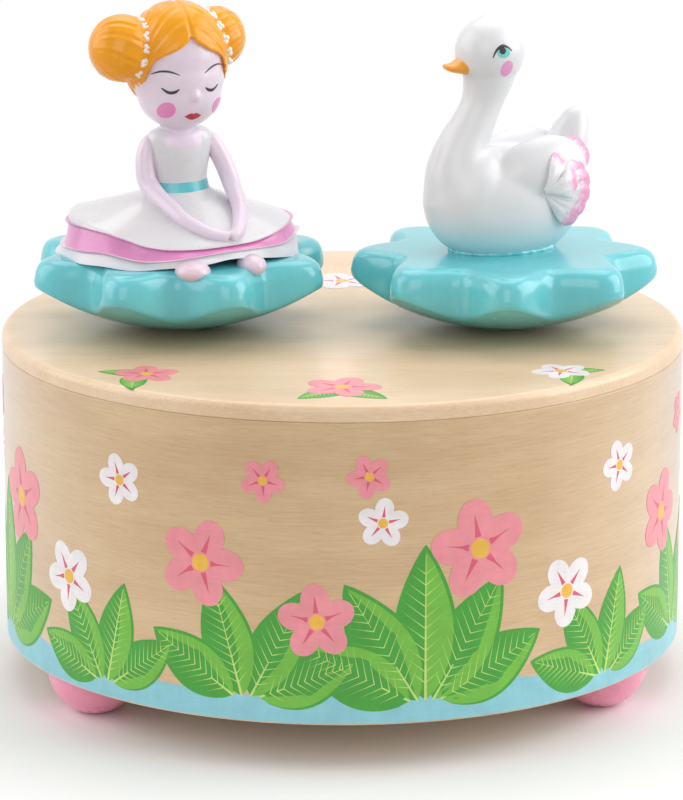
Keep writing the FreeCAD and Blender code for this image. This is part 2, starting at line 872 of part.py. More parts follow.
def make_cylinder():
    """The pinned cylinder on its arbor, with the pinion at one end and the governor's wheel at the other."""
    arbor = cylinder("cylinder_axle", s.arbor_pin_radius, frame_end + s.side_gap - pinion_start,
                     along_x(pinion_start, 0, cylinder_level))
    piece("cylinder_arbor", arbor)
    barrel = new_body("barrel")
    pad(barrel, "barrel_tube", s.cylinder_length,
        circles=[(0, 0, s.cylinder_radius), (0, 0, s.arbor_pin_radius)])
    barrel.Placement = along_x(cylinder_start, 0, cylinder_level)
    tracks = round(s.comb_teeth.value)
    pitch = s.cylinder_length.value / tracks
    golden_turn = 137.508
    pins = []
    for number in range(3 * tracks):
        angle = math.radians(number * golden_turn)
        x = cylinder_start.value + pitch * (number % tracks + 0.5)
        foot = V(x, 0, cylinder_level.value)
        out = V(0, math.cos(angle), math.sin(angle))
        pins.append(Part.makeCylinder(s.pin_radius.value, s.cylinder_radius.value / 2 + s.pin_height.value,
                                      foot + out * (s.cylinder_radius.value / 2), out))
    pin_set = solid_feature("tune_pins", Part.makeCompound(pins))
    piece("music_cylinder", fuse("pinned_barrel", barrel, pin_set))
    half_depth = s.crown_tooth_height / 2
    pinion = gear("pinion", s.pinion_teeth, pinion_pitch_radius, half_depth - s.tooth_gap,
                  half_depth + s.tooth_gap, s.tooth_tip, s.tooth_root, pinion_end - pinion_start,
                  s.arbor_pin_radius)
    half_tooth = 180.0 / s.pinion_teeth.value
    pinion.Placement = along_x(pinion_start, 0, cylinder_level, 180.0 + half_tooth)
    piece("cylinder_pinion", pinion)
    wheel = gear("fine_wheel", s.cylinder_wheel_teeth, wheel_pitch_radius, fine_addendum, fine_dedendum,
                 fine_tip, fine_root, s.fine_face, s.arbor_pin_radius)
    wheel.Placement = along_x(wheel_start, 0, cylinder_level, -90.0)
    piece("cylinder_wheel", wheel)


def upright(name, start, end, y_low, bores):
    """A bearing plate that stands on the bedplate across X, bored for the axles it carries."""
    plate = box(name, (start, y_low, bed_top), (end, s.bearing_half_width, bearing_top))
    holes = [
        cylinder(f"{name}_bore_{number}", radius, end - start, along_x(start, y, cylinder_level))
        for number, (y, radius) in enumerate(bores)
    ]
    return cut(name + "_bored", plate, *holes)


def make_bearings():
    """Three upright plates for the cylinder's arbor and the idler's."""
    idler_front = idler_y - s.bearing_half_width * 0.75
    piece("inner_bearing", upright("inner_upright", inner_bearing_start,
                                   inner_bearing_start + s.bearing_thickness,
                                   -s.bearing_half_width, [(0, bearing_bore)]))
    piece("governor_frame", upright("frame_upright", frame_start, frame_end, idler_front,
                                    [(0, bearing_bore), (idler_y, bearing_bore)]))
    piece("governor_tail_bearing", upright("tail_upright", tail_start, tail_end, idler_front,
                                           [(idler_y, bearing_bore)]))


def make_idler():
    """The step-up pinion and worm wheel on one short axle."""
    axle = cylinder("idler_axle", s.arbor_pin_radius, tail_end - wheel_end,
                    along_x(wheel_end, idler_y, cylinder_level))
    pinion = gear("fine_pinion", s.idler_teeth, idler_pitch_radius, fine_addendum, fine_dedendum,
                  fine_tip, fine_root, s.fine_face, s.arbor_pin_radius / 2)
    half_tooth = 180.0 / s.idler_teeth.value
    pinion.Placement = along_x(wheel_start, idler_y, cylinder_level, 90.0 + half_tooth)
    core = cylinder("idler_core", s.arbor_pin_radius / 2, s.fine_face,
                    along_x(wheel_start, idler_y, cylinder_level))
    piece("idler_pinion", fuse("idler_spindle", axle, pinion, core))
    wheel = gear("worm_gear", s.worm_wheel_teeth, worm_wheel_radius, worm_depth * 0.35, worm_depth * 0.7,
                 s.worm_module * 0.6, s.worm_module * 1.1, s.fine_face, s.arbor_pin_radius)
    wheel.Placement = along_x(worm_wheel_start, idler_y, cylinder_level, -90.0)
    piece("worm_wheel", wheel)


def make_worm():
    """The steep screw that spins the air brake, with its two-bladed fan and the bridge over it."""
    lead = math.pi * s.worm_module.value
    turns = s.worm_thread_length.value / lead
    core = s.worm_pitch_radius.value - worm_depth.value / 2
    crest = s.worm_pitch_radius.value + worm_depth.value / 2
    low = cylinder_level.value - turns / 2 * lead
    root_half = s.worm_module.value * 0.55
    crest_half = s.worm_module.value * 0.3
    helix = Part.makeHelix(lead, turns * lead, core)
    sink = core * 0.8
    corners = [V(sink, 0, -root_half), V(crest, 0, -crest_half), V(crest, 0, crest_half), V(sink, 0, root_half)]
    section = Part.makePolygon([*corners, corners[0]])
    thread = Part.Wire(helix.Edges).makePipeShell([section], True, True)
    # The thread's gap faces the tooth of the worm wheel that points at it.
    half_turn = FreeCAD.Rotation(Z_AXIS, 90.0 - 180.0 - FULL_TURN * (turns / 2 % 1))
    thread.Placement = FreeCAD.Placement(V(0, 0, low), half_turn)
    pivot_bottom = base_top.value
    pivot_top = bridge_top.value
    core_low = bed_top.value + s.end_play.value
    core_high = bridge_bottom.value - s.end_play.value
    spindle = Part.makeCylinder(s.worm_pivot_radius.value, pivot_top - pivot_bottom, V(0, 0, pivot_bottom))
    shank = Part.makeCylinder(core, core_high - core_low, V(0, 0, core_low))
    screw_shape = shank.fuse([spindle, thread]).removeSplitter()
    piece("governor_worm", solid_feature("worm", screw_shape, at(worm_x, worm_y, 0)))
    blades = box("fan_blades", (worm_x - s.fan_reach, worm_y - s.fan_thickness / 2, fan_bottom),
                 (worm_x + s.fan_reach, worm_y + s.fan_thickness / 2, fan_top))
    collar_radius = s.worm_pitch_radius + s.fan_thickness
    collar = cylinder("fan_collar", collar_radius, s.fan_height, at(worm_x, worm_y, fan_bottom))
    bore = cylinder("fan_bore", s.worm_pitch_radius - worm_depth / 2, s.fan_height, at(worm_x, worm_y, fan_bottom))
    piece("governor_fan", cut("fan", fuse("fan_blank", blades, collar), bore))
    half = s.bridge_width / 2
    leg = box("bridge_leg", (worm_x - half, bridge_front, bed_top), (worm_x + half, bridge_back, bridge_top))
    span = box("bridge_span", (worm_x - half, bridge_front, bridge_bottom),
               (worm_x + half, worm_y + half, bridge_top))
    pivot = cylinder("bridge_pivot", s.worm_pivot_radius + s.running_gap, s.bearing_thickness,
                     at(worm_x, worm_y, bridge_bottom))
    piece("governor_bridge", cut("bridge", fuse("bridge_blank", leg, span), pivot))


def make_comb():
    """The tuned steel comb, its tips just clear of the pins, screwed to a block on the bed."""
    comb_bottom = cylinder_level - s.comb_thickness / 2
    body = new_body("comb")
    pad(body, "comb_plate", s.comb_thickness, [rectangle(cylinder_start, cylinder_end, comb_tip, comb_back)],
        base=comb_bottom)
    pitch = s.cylinder_length / s.comb_teeth
    half = s.comb_slot / 2
    slot = pocket(body, "comb_slot", s.comb_thickness,
                  [rectangle(cylinder_start + pitch - half, cylinder_start + pitch + half,
                             comb_tip - s.comb_slot, comb_root)], base=comb_bottom)
    row = body.newObject("PartDesign::LinearPattern", "comb_slots")
    row.Originals = [slot]
    row.Direction = (slot.Profile[0], ["H_Axis"])
    bind(row, Length=s.cylinder_length - pitch * 2)
    row.Occurrences = round(s.comb_teeth.value) - 1
    row.setExpression("Occurrences", f"{s.comb_teeth.text} - 1")
    body.Tip = row
    screw_y = comb_root + s.comb_body / 2
    spots = [cylinder_start + s.cylinder_length * share for share in (0.25, 0.75)]
    pocket(body, "comb_holes", s.comb_thickness, circles=[(x, screw_y, s.screw_radius) for x in spots],
           base=comb_bottom)
    piece("music_comb", body)
    block = box("comb_bed", (cylinder_start, comb_root + s.side_gap, bed_top),
                (cylinder_end, comb_back, comb_bottom))
    bite = (comb_bottom - bed_top) / 2
    pilots = [
        cylinder(f"comb_pilot_{number}", s.screw_radius, bite, at(x, screw_y, comb_bottom - bite))
        for number, x in enumerate(spots)
    ]
    piece("comb_block", cut("comb_bed_drilled", block, *pilots))
    head_top = comb_bottom + s.comb_thickness + s.screw_head_height
    screws = [
        screw(f"comb_screw_{number}", x, screw_y, head_top, s.screw_head_height + s.comb_thickness + bite)
        for number, x in enumerate(spots)
    ]
    piece("comb_screws", group("comb_screw_set", *screws))


# Star bases
def star_outline(tip, valley, tip_round, valley_round, points):
    """A star with round tips and round valleys, joined by straight flanks that touch both arcs."""
    step = math.pi / points
    tip_centre = V(tip - tip_round, 0, 0)
    valley_reach = valley + valley_round
    valley_centre = V(valley_reach * math.cos(step), valley_reach * math.sin(step), 0)
    between = valley_centre - tip_centre
    lean = math.asin((tip_round + valley_round) / between.Length)
    heading = math.atan2(between.y, between.x) - math.pi / 2 + lean
    normal = V(math.cos(heading), math.sin(heading), 0)
    flank_top = tip_centre + normal * tip_round
    flank_foot = valley_centre - normal * valley_round
    valley_low = V(valley * math.cos(step), valley * math.sin(step), 0)
    mirror = 2 * step
    flank_foot_next = V(
        flank_foot.x * math.cos(mirror) + flank_foot.y * math.sin(mirror),
        flank_foot.x * math.sin(mirror) - flank_foot.y * math.cos(mirror),
        0,
    )
    one_point = [
        Part.Arc(V(flank_top.x, -flank_top.y, 0), V(tip, 0, 0), flank_top).toShape(),
        Part.LineSegment(flank_top, flank_foot).toShape(),
        Part.Arc(flank_foot, valley_low, flank_foot_next).toShape(),
        Part.LineSegment(
            flank_foot_next,
            V(
                flank_top.x * math.cos(mirror) + flank_top.y * math.sin(mirror),
                flank_top.x * math.sin(mirror) - flank_top.y * math.cos(mirror),
                0,
            ),
        ).toShape(),
    ]
    edges = []
    for number in range(points):
        for edge in one_point:
            turned_edge = edge.copy()
            turned_edge.rotate(V(0, 0, 0), Z_AXIS, math.degrees(mirror) * number)
            edges.append(turned_edge)
    return Part.Wire(Part.__sortEdges__(edges))


def make_star_base(owner, x, turn):
    """A star-shaped resin base with a rounded rim, a shallow dome underneath and a magnet in the dome."""
    outline = star_outline(s.star_tip.value, s.star_valley.value, s.tip_round.value, s.valley_round.value,
                           round(s.star_points.value))
    prism = Part.Face(outline).extrude(V(0, 0, s.star_height.value))
    rim = [edge for edge in prism.Edges if edge.BoundBox.ZMin > s.star_height.value - 0.01]
    prism = prism.makeFillet(s.star_round.value, rim)
    star = solid_feature(f"{owner}_star", prism, at(x, 0, star_bottom, Z_AXIS, turn))
    dome = sphere(f"{owner}_dome", s.dome_radius, at(x, 0, star_bottom + s.dome_radius))
    lens = common(f"{owner}_lens", star, dome)
    sink = s.dome_radius - math.sqrt(s.dome_radius.value ** 2 - s.magnet_radius.value ** 2)
    magnet_low = star_bottom + sink
    seat = cylinder(f"{owner}_magnet_seat", s.magnet_radius, s.figure_magnet_thickness + sink,
                    at(x, 0, star_bottom))
    piece(f"{owner}_base", cut(f"{owner}_base_bored", lens, seat))
    piece(f"{owner}_magnet", cylinder(f"{owner}_disc_magnet", s.magnet_radius, s.figure_magnet_thickness,
                                      at(x, 0, magnet_low)))


# Lofted forms of the figures
def oval(width, depth, z, x=0.0, y=0.0):
    """A closed ellipse by its full width and depth."""
    ring = Part.Ellipse(V(0, 0, 0), max(width, depth) / 2, min(width, depth) / 2).toShape()
    if depth > width:
        ring.rotate(V(0, 0, 0), Z_AXIS, 90)
    ring.translate(V(x, y, z))
    return Part.Wire(ring)


def wavy_ring(radius, wave, z, tilt=0.0):
    """A closed curve round Z whose radius ripples, as a hem does, tipped down at the front by tilt degrees."""
    waves = round(s.skirt_waves.value)
    count = 8 * waves
    points = []
    for number in range(count):
        angle = 2 * math.pi * number / count
        reach = radius + wave * math.cos(waves * angle)
        points.append(V(reach * math.cos(angle), reach * math.sin(angle), z))
    curve = Part.BSplineCurve()
    curve.interpolate(points, PeriodicFlag=True)
    ring = curve.toShape()
    ring.rotate(V(0, 0, z), X_AXIS, tilt)
    return Part.Wire(ring)


def tube_through(points, radii, steady):
    """A round limb lofted through circles set square to its path, none of them twisted about it."""
    rings = []
    for number, (point, radius) in enumerate(zip(points, radii)):
        before = points[max(number - 1, 0)]
        after = points[min(number + 1, len(points) - 1)]
        ring = Part.Circle(V(0, 0, 0), Z_AXIS, radius).toShape()
        ring.Placement = FreeCAD.Placement(point, FreeCAD.Rotation(steady, V(), after - before, "ZXY"))
        rings.append(Part.Wire(ring))
    return Part.makeLoft(rings, True)


ballerina_place = at(-s.figure_circle, 0, star_top, Z_AXIS, s.ballerina_turn)
swan_place = at(s.figure_circle, 0, star_top, Z_AXIS, s.swan_turn)


def on_figure(figure_place, x=0, y=0, z=0, axis=Z_AXIS, angle=0):
    """A placement given in a figure's own frame, where the figure faces -Y."""
    return figure_place.multiply(at(x, y, z, axis, angle))


def make_dress():
    """Petticoat, pink hem and overskirt as three layers, and the bodice with its belt above them."""
    radius = s.skirt_radius.value
    wave = s.skirt_wave_depth.value
    hem_low = s.petticoat_height.value
    hem_high = hem_low + s.hem_height.value
    waist = hem_high + s.skirt_rise.value
    tilt = s.skirt_tilt.value
    petticoat_top = wavy_ring(radius, wave, hem_low, tilt / 2)
    hem_top = wavy_ring(radius - wave, wave / 2, hem_high, tilt)
    petticoat = Part.makeLoft([wavy_ring(radius - wave, wave, 0), petticoat_top], True)
    piece("ballerina_petticoat", solid_feature("petticoat", petticoat, ballerina_place))
    hem = Part.makeLoft([petticoat_top, hem_top], True)
    piece("ballerina_hem", solid_feature("hem", hem, ballerina_place))
    skirt = Part.makeLoft(
        [
            hem_top,
            wavy_ring(radius * 0.82, wave / 4, hem_high + s.skirt_rise.value * 0.45, tilt * 0.7),
            wavy_ring(radius * 0.52, 0.0, hem_high + s.skirt_rise.value * 0.75, tilt * 0.3),
            wavy_ring(s.waist_width.value * 0.6, 0.0, waist),
        ],
        True,
    )
    bodice_top = waist + s.bodice_height.value
    bodice = Part.makeLoft(
        [
            oval(s.waist_width.value, s.waist_depth.value, waist - s.skirt_rise.value / 2),
            oval(s.waist_width.value, s.waist_depth.value, waist + s.belt_height.value),
            oval(s.shoulder_width.value, s.shoulder_depth.value, bodice_top),
        ],
        True,
    )
    gown = solid_feature("gown", skirt.fuse(bodice).removeSplitter(), ballerina_place)
    belt_ring = Part.makeLoft(
        [
            oval(s.waist_width.value + 2 * s.belt_stand.value, s.waist_depth.value + 2 * s.belt_stand.value, z)
            for z in (waist, waist + s.belt_height.value)
        ],
        True,
    )
    belt = solid_feature("belt_band", belt_ring, ballerina_place)
    arms = make_arms(bodice_top, waist)
    piece("ballerina_dress", gown)
    piece("ballerina_belt", cut("belt", belt, gown))
    piece("ballerina_arms", cut("arms_cut", arms, gown, belt))
    make_toes(gown)
    return bodice_top


def make_arms(bodice_top, waist):
    """Both arms as one loop, from the shoulders down to the hands joined over the hem."""
    shoulder_x = s.shoulder_width.value / 2
    radius = s.arm_radius.value
    hand = V(0, -s.hand_reach.value, waist - s.hand_drop.value)
    half = [
        (V(shoulder_x * 0.9, 0, bodice_top - radius * 1.5), radius * 1.1),
        (V(shoulder_x + radius * 1.2, hand.y * 0.12, bodice_top - s.bodice_height.value * 0.45), radius * 1.05),
        (V(shoulder_x + radius * 1.3, hand.y * 0.42, waist + radius), radius),
        (V(shoulder_x * 0.75, hand.y * 0.8, hand.z + radius), radius * 0.85),
    ]
    other_half = [(V(-point.x, point.y, point.z), share) for point, share in reversed(half)]
    path = half + [(hand, radius * 0.75)] + other_half
    loop = tube_through([point for point, share in path], [share for point, share in path], V(0, -1, 2))
    return solid_feature("arm_loop", loop, ballerina_place)


def make_toes(gown):
    """Two rounded shoe tips that peep out under the petticoat."""
    toes = []
    for name, side in (("right", -1), ("left", 1)):
        spot = on_figure(ballerina_place, side * s.toe_spread, -s.toe_reach, s.toe_height / 4)
        toe = ellipsoid(f"toe_{name}", s.toe_width, s.toe_length, s.toe_height, spot)
        floor = pieces["ballerina_base"]
        toes.append(cut(f"toe_{name}_cut", toe, floor, pieces["ballerina_petticoat"], pieces["ballerina_hem"]))
    piece("ballerina_toes", group("toe_pair", *toes))


def make_head(bodice_top):
    """Neck and egg-shaped head, a cap of hair parted over the brow, two side buns and their garlands."""
    head_level = bodice_top + s.neck_height.value + s.head_height.value / 2 - s.chin_drop.value / 2
    lean = -s.head_lean
    skull = ellipsoid("skull", s.head_width, s.head_depth, s.head_height,
                      on_figure(ballerina_place, lean, 0, head_level))
    jaw = ellipsoid("jaw", s.head_width * 0.8, s.head_depth * 0.8, s.head_height * 0.66,
                    on_figure(ballerina_place, lean, -s.head_depth / 14, head_level - s.chin_drop))
    neck = tube_through(
        [V(0, 0, bodice_top), V(0, 0, bodice_top + s.neck_height.value / 4),
         V(lean.value, 0, head_level - s.chin_drop.value)],
        [s.shoulder_depth.value / 2, s.neck_radius.value, s.neck_radius.value],
        X_AXIS,
    )
    neck_piece = solid_feature("neck", neck, ballerina_place)
    head = fuse("head", skull, jaw, neck_piece)
    piece("ballerina_head", head)
    cap = ellipsoid("hair_cap", s.head_width + 2 * s.hair_stand, s.head_depth + 2 * s.hair_stand,
                    s.head_height + 2 * s.hair_stand, on_figure(ballerina_place, lean, 0, head_level))
    brow = ellipsoid("brow_opening", s.head_width * 0.96, s.head_depth, s.head_height * 1.06,
                     on_figure(ballerina_place, lean, -s.head_depth * 0.6, head_level - s.head_height * 0.2))
    reach = s.head_width + s.head_depth
    nape_level = head_level - s.head_height * 0.3
    nape = box("nape_cut", (-reach, -reach, 0), (reach, reach, nape_level))
    nape.Placement = on_figure(ballerina_place, -reach, -reach, 0)
    shaped_cap = cut("hair_shaped", cap, brow, nape)
    buns = []
    rings = []
    bun_level = head_level + s.head_height * 0.06
    # Each garland stays open below, where the bun meets the head.
    open_angle = 30.0
    for name, side in (("right", -1), ("left", 1)):
        spread = lean + side * s.bun_spread
        buns.append(sphere(f"bun_{name}", s.bun_radius, on_figure(ballerina_place, spread, 0, bun_level)))
        ring = doc.addObject("Part::Torus", f"garland_{name}")
        bind(ring, Radius1=s.bun_radius * 0.98, Radius2=s.garland_radius)
        ring.Angle3 = FULL_TURN - 2 * open_angle
        root = on_figure(ballerina_place, lean + side * s.bun_spread * 0.81, 0, bun_level, Y_AXIS, 90)
        ring.Placement = root.multiply(at(angle=open_angle))
        rings.append(ring)
    whole_hair = fuse("hair_whole", shaped_cap, *buns)
    piece("ballerina_hair", cut("hair", whole_hair, head))
    trimmed = [cut(f"{ring.Name}_set", ring, whole_hair, head) for ring in rings]
    piece("hair_garlands", group("garland_pair", *trimmed))


# Swan
def make_swan():
    """Body, neck and head as one casting, with the beak, the two feather fans and the tail set on it."""
    length = s.swan_length
    body_level = s.swan_height / 2 - s.swan_sink
    hull = ellipsoid("swan_hull", s.swan_width, length, s.swan_height, on_figure(swan_place, 0, 0, body_level))
    head_y = -s.swan_head_ahead.value
    head_level = s.swan_head_level.value
    breast_y = -length.value * 0.31
    neck = tube_through(
        [
            V(0, breast_y * 0.8, body_level.value * 0.9),
            V(0, breast_y * 1.02, body_level.value * 1.55),
            V(0, breast_y * 0.86, body_level.value * 2.15),
            V(0, head_y * 1.2, head_level - s.swan_head_height.value * 0.55),
            V(0, head_y, head_level),
        ],
        [
            s.swan_neck_radius.value * 1.55,
            s.swan_neck_radius.value * 1.18,
            s.swan_neck_radius.value,
            s.swan_throat_radius.value,
            s.swan_throat_radius.value,
        ],
        X_AXIS,
    )
    neck_piece = solid_feature("swan_neck", neck, swan_place)
    head = ellipsoid("swan_head", s.swan_head_width, s.swan_head_length, s.swan_head_height,
                     on_figure(swan_place, 0, head_y, head_level))
    whole = fuse("swan_whole", hull, neck_piece, head)
    bird = cut("swan_seated", whole, pieces["swan_base"])
    piece("swan_body", bird)
    make_beak(bird, head_y, head_level)
    make_feathers(bird, body_level)


def make_beak(bird, head_y, head_level):
    """A short pointed bill set into the face."""
    face = head_y - s.swan_head_length.value / 2
    bill_level = head_level - s.swan_head_height.value * 0.1
    sections = [(0.35, 0.9), (0.0, 1.0), (-0.55, 0.62), (-1.0, 0.22)]
    rings = []
    for along, share in sections:
        ring = oval(s.beak_width.value * share, s.beak_height.value * share, 0)
        ring.rotate(V(0, 0, 0), X_AXIS, 90)
        ring.translate(V(0, face + along * s.beak_length.value, bill_level + along * s.beak_height.value * 0.12))
        rings.append(ring)
    bill = solid_feature("bill", Part.makeLoft(rings, True), swan_place)
    piece("swan_beak", cut("beak", bill, bird))


def feather_fan(side):
    """A plate with one round scallop for each feather, spread about a root on the swan's flank."""
    count = round(s.wing_feathers.value)
    share = math.radians(s.wing_spread.value / count)
    first = -share * count / 2
    root = V(side * s.swan_width.value * 0.46 - s.feather_thickness.value / 2, s.wing_root_back.value,
             s.wing_root_level.value)
    # Each scallop bulges by a little less than half its width, so that neighbours meet in a notch.
    notch = s.feather_length.value / (math.cos(share / 2) + 0.8 * math.sin(share / 2))

    def point(angle, reach):
        return root + V(0, reach * math.cos(angle), reach * math.sin(angle))

    edges = [Part.LineSegment(root, point(first, notch)).toShape()]
    for number in range(count):
        start = first + share * number
        tip = point(start + share / 2, s.feather_length.value)
        edges.append(Part.Arc(point(start, notch), tip, point(start + share, notch)).toShape())
    edges.append(Part.LineSegment(point(-first, notch), root).toShape())
    return Part.Face(Part.Wire(edges)).extrude(V(s.feather_thickness.value, 0, 0))


def make_feathers(bird, body_level):
    """A fan of feathers on each flank and an upright tail between them."""
    tail_y = s.swan_length.value * 0.36
    tail = ellipsoid("tail_feather", s.tail_width, s.tail_thickness, s.tail_length,
                     on_figure(swan_place, 0, tail_y, body_level * 2.2, X_AXIS, -24))
    tail_piece = cut("tail", tail, bird)
    piece("swan_tail", tail_piece)
    for name, side in (("left", 1), ("right", -1)):
        fan = solid_feature(f"wing_{name}_fan", feather_fan(side), swan_place)
        piece(f"swan_wing_{name}", cut(f"wing_{name}", fan, bird, tail_piece))


make_drum_wall()
make_top_plate()
make_base_plate()
make_feet()
make_bedplate()
make_spring_case()
make_mainspring()
make_winding_shaft()
make_winding_key()
make_ratchet_washer()
make_crown_wheel()
make_magnet_arm()
make_cylinder()
make_bearings()
make_idler()
make_worm()
make_comb()
half_point = 180.0 / s.star_points.value
make_star_base("ballerina", -s.figure_circle, half_point)
make_star_base("swan", s.figure_circle, 0)
make_head(make_dress())
make_swan()

# Every object has to be sound before anything is written.
doc.recompute()
for obj in doc.Objects:
    assert "Invalid" not in obj.State and "Error" not in obj.State, f"{obj.Label} failed: {obj.State}"
for label, obj in pieces.items():
    shape = obj.Shape
    assert not shape.isNull() and shape.isValid() and shape.Solids, f"{label} has no sound solid"

os.makedirs("parts", exist_ok=True)
for label, obj in pieces.items():
    obj.Shape.exportStep(f"parts/{label}.step")
print(len(pieces), "sub-parts written")
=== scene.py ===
# %% [markdown]
# # A wind-up music box with two magnetic figures
# A wooden drum stands on three ball feet and hides a spring movement. A seated girl and a swan
# stand on star-shaped bases, and magnets under the thin top carry them round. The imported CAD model
# is loaded first: it fixes every size and every joint, and the cells below dress it.

# %% Load the frame
import math
from functools import partial
import bpy
from mathutils import Matrix, Vector
from mathutils.bvhtree import BVHTree


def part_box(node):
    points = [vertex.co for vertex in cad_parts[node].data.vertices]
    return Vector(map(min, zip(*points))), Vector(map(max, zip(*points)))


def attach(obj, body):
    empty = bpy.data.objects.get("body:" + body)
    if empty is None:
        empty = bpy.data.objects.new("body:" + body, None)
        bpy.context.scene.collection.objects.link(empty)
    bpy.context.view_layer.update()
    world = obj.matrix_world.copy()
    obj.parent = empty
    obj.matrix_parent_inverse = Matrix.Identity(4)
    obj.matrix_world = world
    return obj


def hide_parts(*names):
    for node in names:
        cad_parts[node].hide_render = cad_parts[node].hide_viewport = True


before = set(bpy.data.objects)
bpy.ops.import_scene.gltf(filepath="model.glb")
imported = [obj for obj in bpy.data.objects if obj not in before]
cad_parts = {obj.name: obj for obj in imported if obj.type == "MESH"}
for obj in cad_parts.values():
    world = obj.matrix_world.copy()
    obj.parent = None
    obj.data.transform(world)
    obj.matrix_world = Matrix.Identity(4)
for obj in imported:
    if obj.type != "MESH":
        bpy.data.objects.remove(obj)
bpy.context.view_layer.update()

# %% [markdown]
# ## Closed solids from rings
# Nearly every piece of this object was turned, moulded or cast, so its form is a row of rings.
# Blender's own balls and cylinders would need much reshaping. A ring worked out point by point from
# its angle takes any outline at once, and rings that are skinned and capped always give a closed
# solid.

# %% Rings and skins
TURN = 2 * math.pi


def ring_of(count, spot):
    """A ring of points, each worked out from its angle."""
    return [spot(TURN * i / count) for i in range(count)]


def skin(rings, rows):
    """The points of all rings, and the faces from each of the first rows to the ring after it."""
    count = len(rings[0])
    points = [Vector(point) for ring in rings for point in ring]
    faces = []
    for row in range(rows):
        low = row * count
        high = (row + 1) % len(rings) * count
        for i in range(count):
            j = (i + 1) % count
            faces.append((low + i, low + j, high + j, high + i))
    return points, faces


def ring_loop(rings):
    """A hoop: the last ring is joined to the first."""
    return skin(rings, len(rings))


def ring_solid(rings):
    """A solid: both end rings are capped with a fan."""
    points, faces = skin(rings, len(rings) - 1)
    count = len(rings[0])
    for start, inward in ((0, True), (len(points) - count, False)):
        hub = len(points)
        points.append(sum(points[start:start + count], Vector()) / count)
        for i in range(count):
            fan = (start + i, start + (i + 1) % count, hub)
            faces.append(fan[::-1] if inward else fan)
    return points, faces


def merged(solids):
    """Lists several solids as one, each still closed by itself."""
    points = []
    faces = []
    for more_points, more_faces in solids:
        start = len(points)
        points += more_points
        faces += [tuple(start + i for i in face) for face in more_faces]
    return points, faces


def round_point(radius, angle, z):
    """A point at a radius and an angle about the upright axis."""
    return (radius * math.cos(angle), radius * math.sin(angle), z)


def turned(outline, segments):
    """The rings of a turned piece, from its outline of (radius, height)."""
    return [ring_of(segments, lambda angle: round_point(radius, angle, z)) for radius, z in outline]


print("a four-sided peg has", len(ring_solid(turned([(1, 0), (1, 5)], 4))[1]), "faces with its caps")

# %% [markdown]
# ## Balls and limbs
# Head, buns and bodies start as balls with three radii. Necks, arms and the tail are tubes through
# a few stations. Blender's bevelled curves make tubes too, but here every station carries its own
# radius, so a limb swells and tapers along one smooth path and comes out as a closed solid that can
# be melted.

# %% Balls and limbs
POLE_GAP = 0.12
TUBE_SEGMENTS = 28
SIDEWAYS = 0.8


def ellipsoid(centre, radii, tilt=Matrix.Identity(3), segments=56, rows=28):
    """A ball with three radii, whose poles are tiny flats."""
    rings = []
    for row in range(rows + 1):
        lift = math.pi * ((row + POLE_GAP) / (rows + 2 * POLE_GAP) - 0.5)
        flat = math.cos(lift)

        def spot(angle):
            out = (radii[0] * flat * math.cos(angle), radii[1] * flat * math.sin(angle))
            return Vector(centre) + tilt @ Vector((*out, radii[2] * math.sin(lift)))
        rings.append(ring_of(segments, spot))
    return ring_solid(rings)


def smooth_path(points, steps=8):
    """A soft curve through every point; a point may hold more than x, y and z."""
    points = [Vector(point) for point in points]
    ends = [points[0] * 2 - points[1], *points, points[-1] * 2 - points[-2]]
    path = []
    for a, b, c, d in zip(ends, ends[1:], ends[2:], ends[3:]):
        for step in range(steps):
            t = step / steps
            path.append(((b * 2) + (c - a) * t + (a * 2 - b * 5 + c * 4 - d) * t * t
                         + (b * 3 - a - c * 3 + d) * t ** 3) / 2)
    return path + [points[-1]]


def tube(stations, flatten=1.0):
    """A limb through stations of (x, y, z, radius); flatten squeezes it across its side."""
    path = smooth_path(stations)
    rings = []
    side = Vector((1, 0, 0))
    for i, station in enumerate(path):
        before = path[max(i - 1, 0)].to_3d()
        after = path[min(i + 1, len(path) - 1)].to_3d()
        ahead = (after - before).normalized()
        if i == 0 and abs(ahead.x) > SIDEWAYS:
            side = Vector((0, 0, 1))
        side = (side - ahead * side.dot(ahead)).normalized()
        across = ahead.cross(side)

        def spot(angle):
            return station.to_3d() + station.w * (side * math.cos(angle) + across * math.sin(angle) * flatten)
        rings.append(ring_of(TUBE_SEGMENTS, spot))
    return ring_solid(rings)


print("a ball has", len(ellipsoid((0, 0, 0), (1, 1, 1))[1]), "faces")

# %% [markdown]
# ## Castings
# The figures are resin castings: soft forms that run into each other. They could be joined edge by
# edge with booleans. A voxel remesh is quicker: it melts overlapping solids into one skin, and a
# smoothing pass rounds the joins, as clay is blended under a thumb before a mould is taken from it.

# %% Castings
SOFTENING = 0.5


def solid_mesh(solid):
    """A mesh of the points and faces of a solid."""
    mesh = bpy.data.meshes.new("blank")
    mesh.from_pydata([tuple(point) for point in solid[0]], [], solid[1])
    return mesh


def blank_object(solid):
    """A solid as an object, for modifiers to work on."""
    obj = bpy.data.objects.new("blank", solid_mesh(solid))
    bpy.context.scene.collection.objects.link(obj)
    return obj


def melt(obj, voxel):
    """Runs an object's solids into one skin."""
    step = obj.modifiers.new("melt", "REMESH")
    step.mode = "VOXEL"
    step.voxel_size = voxel


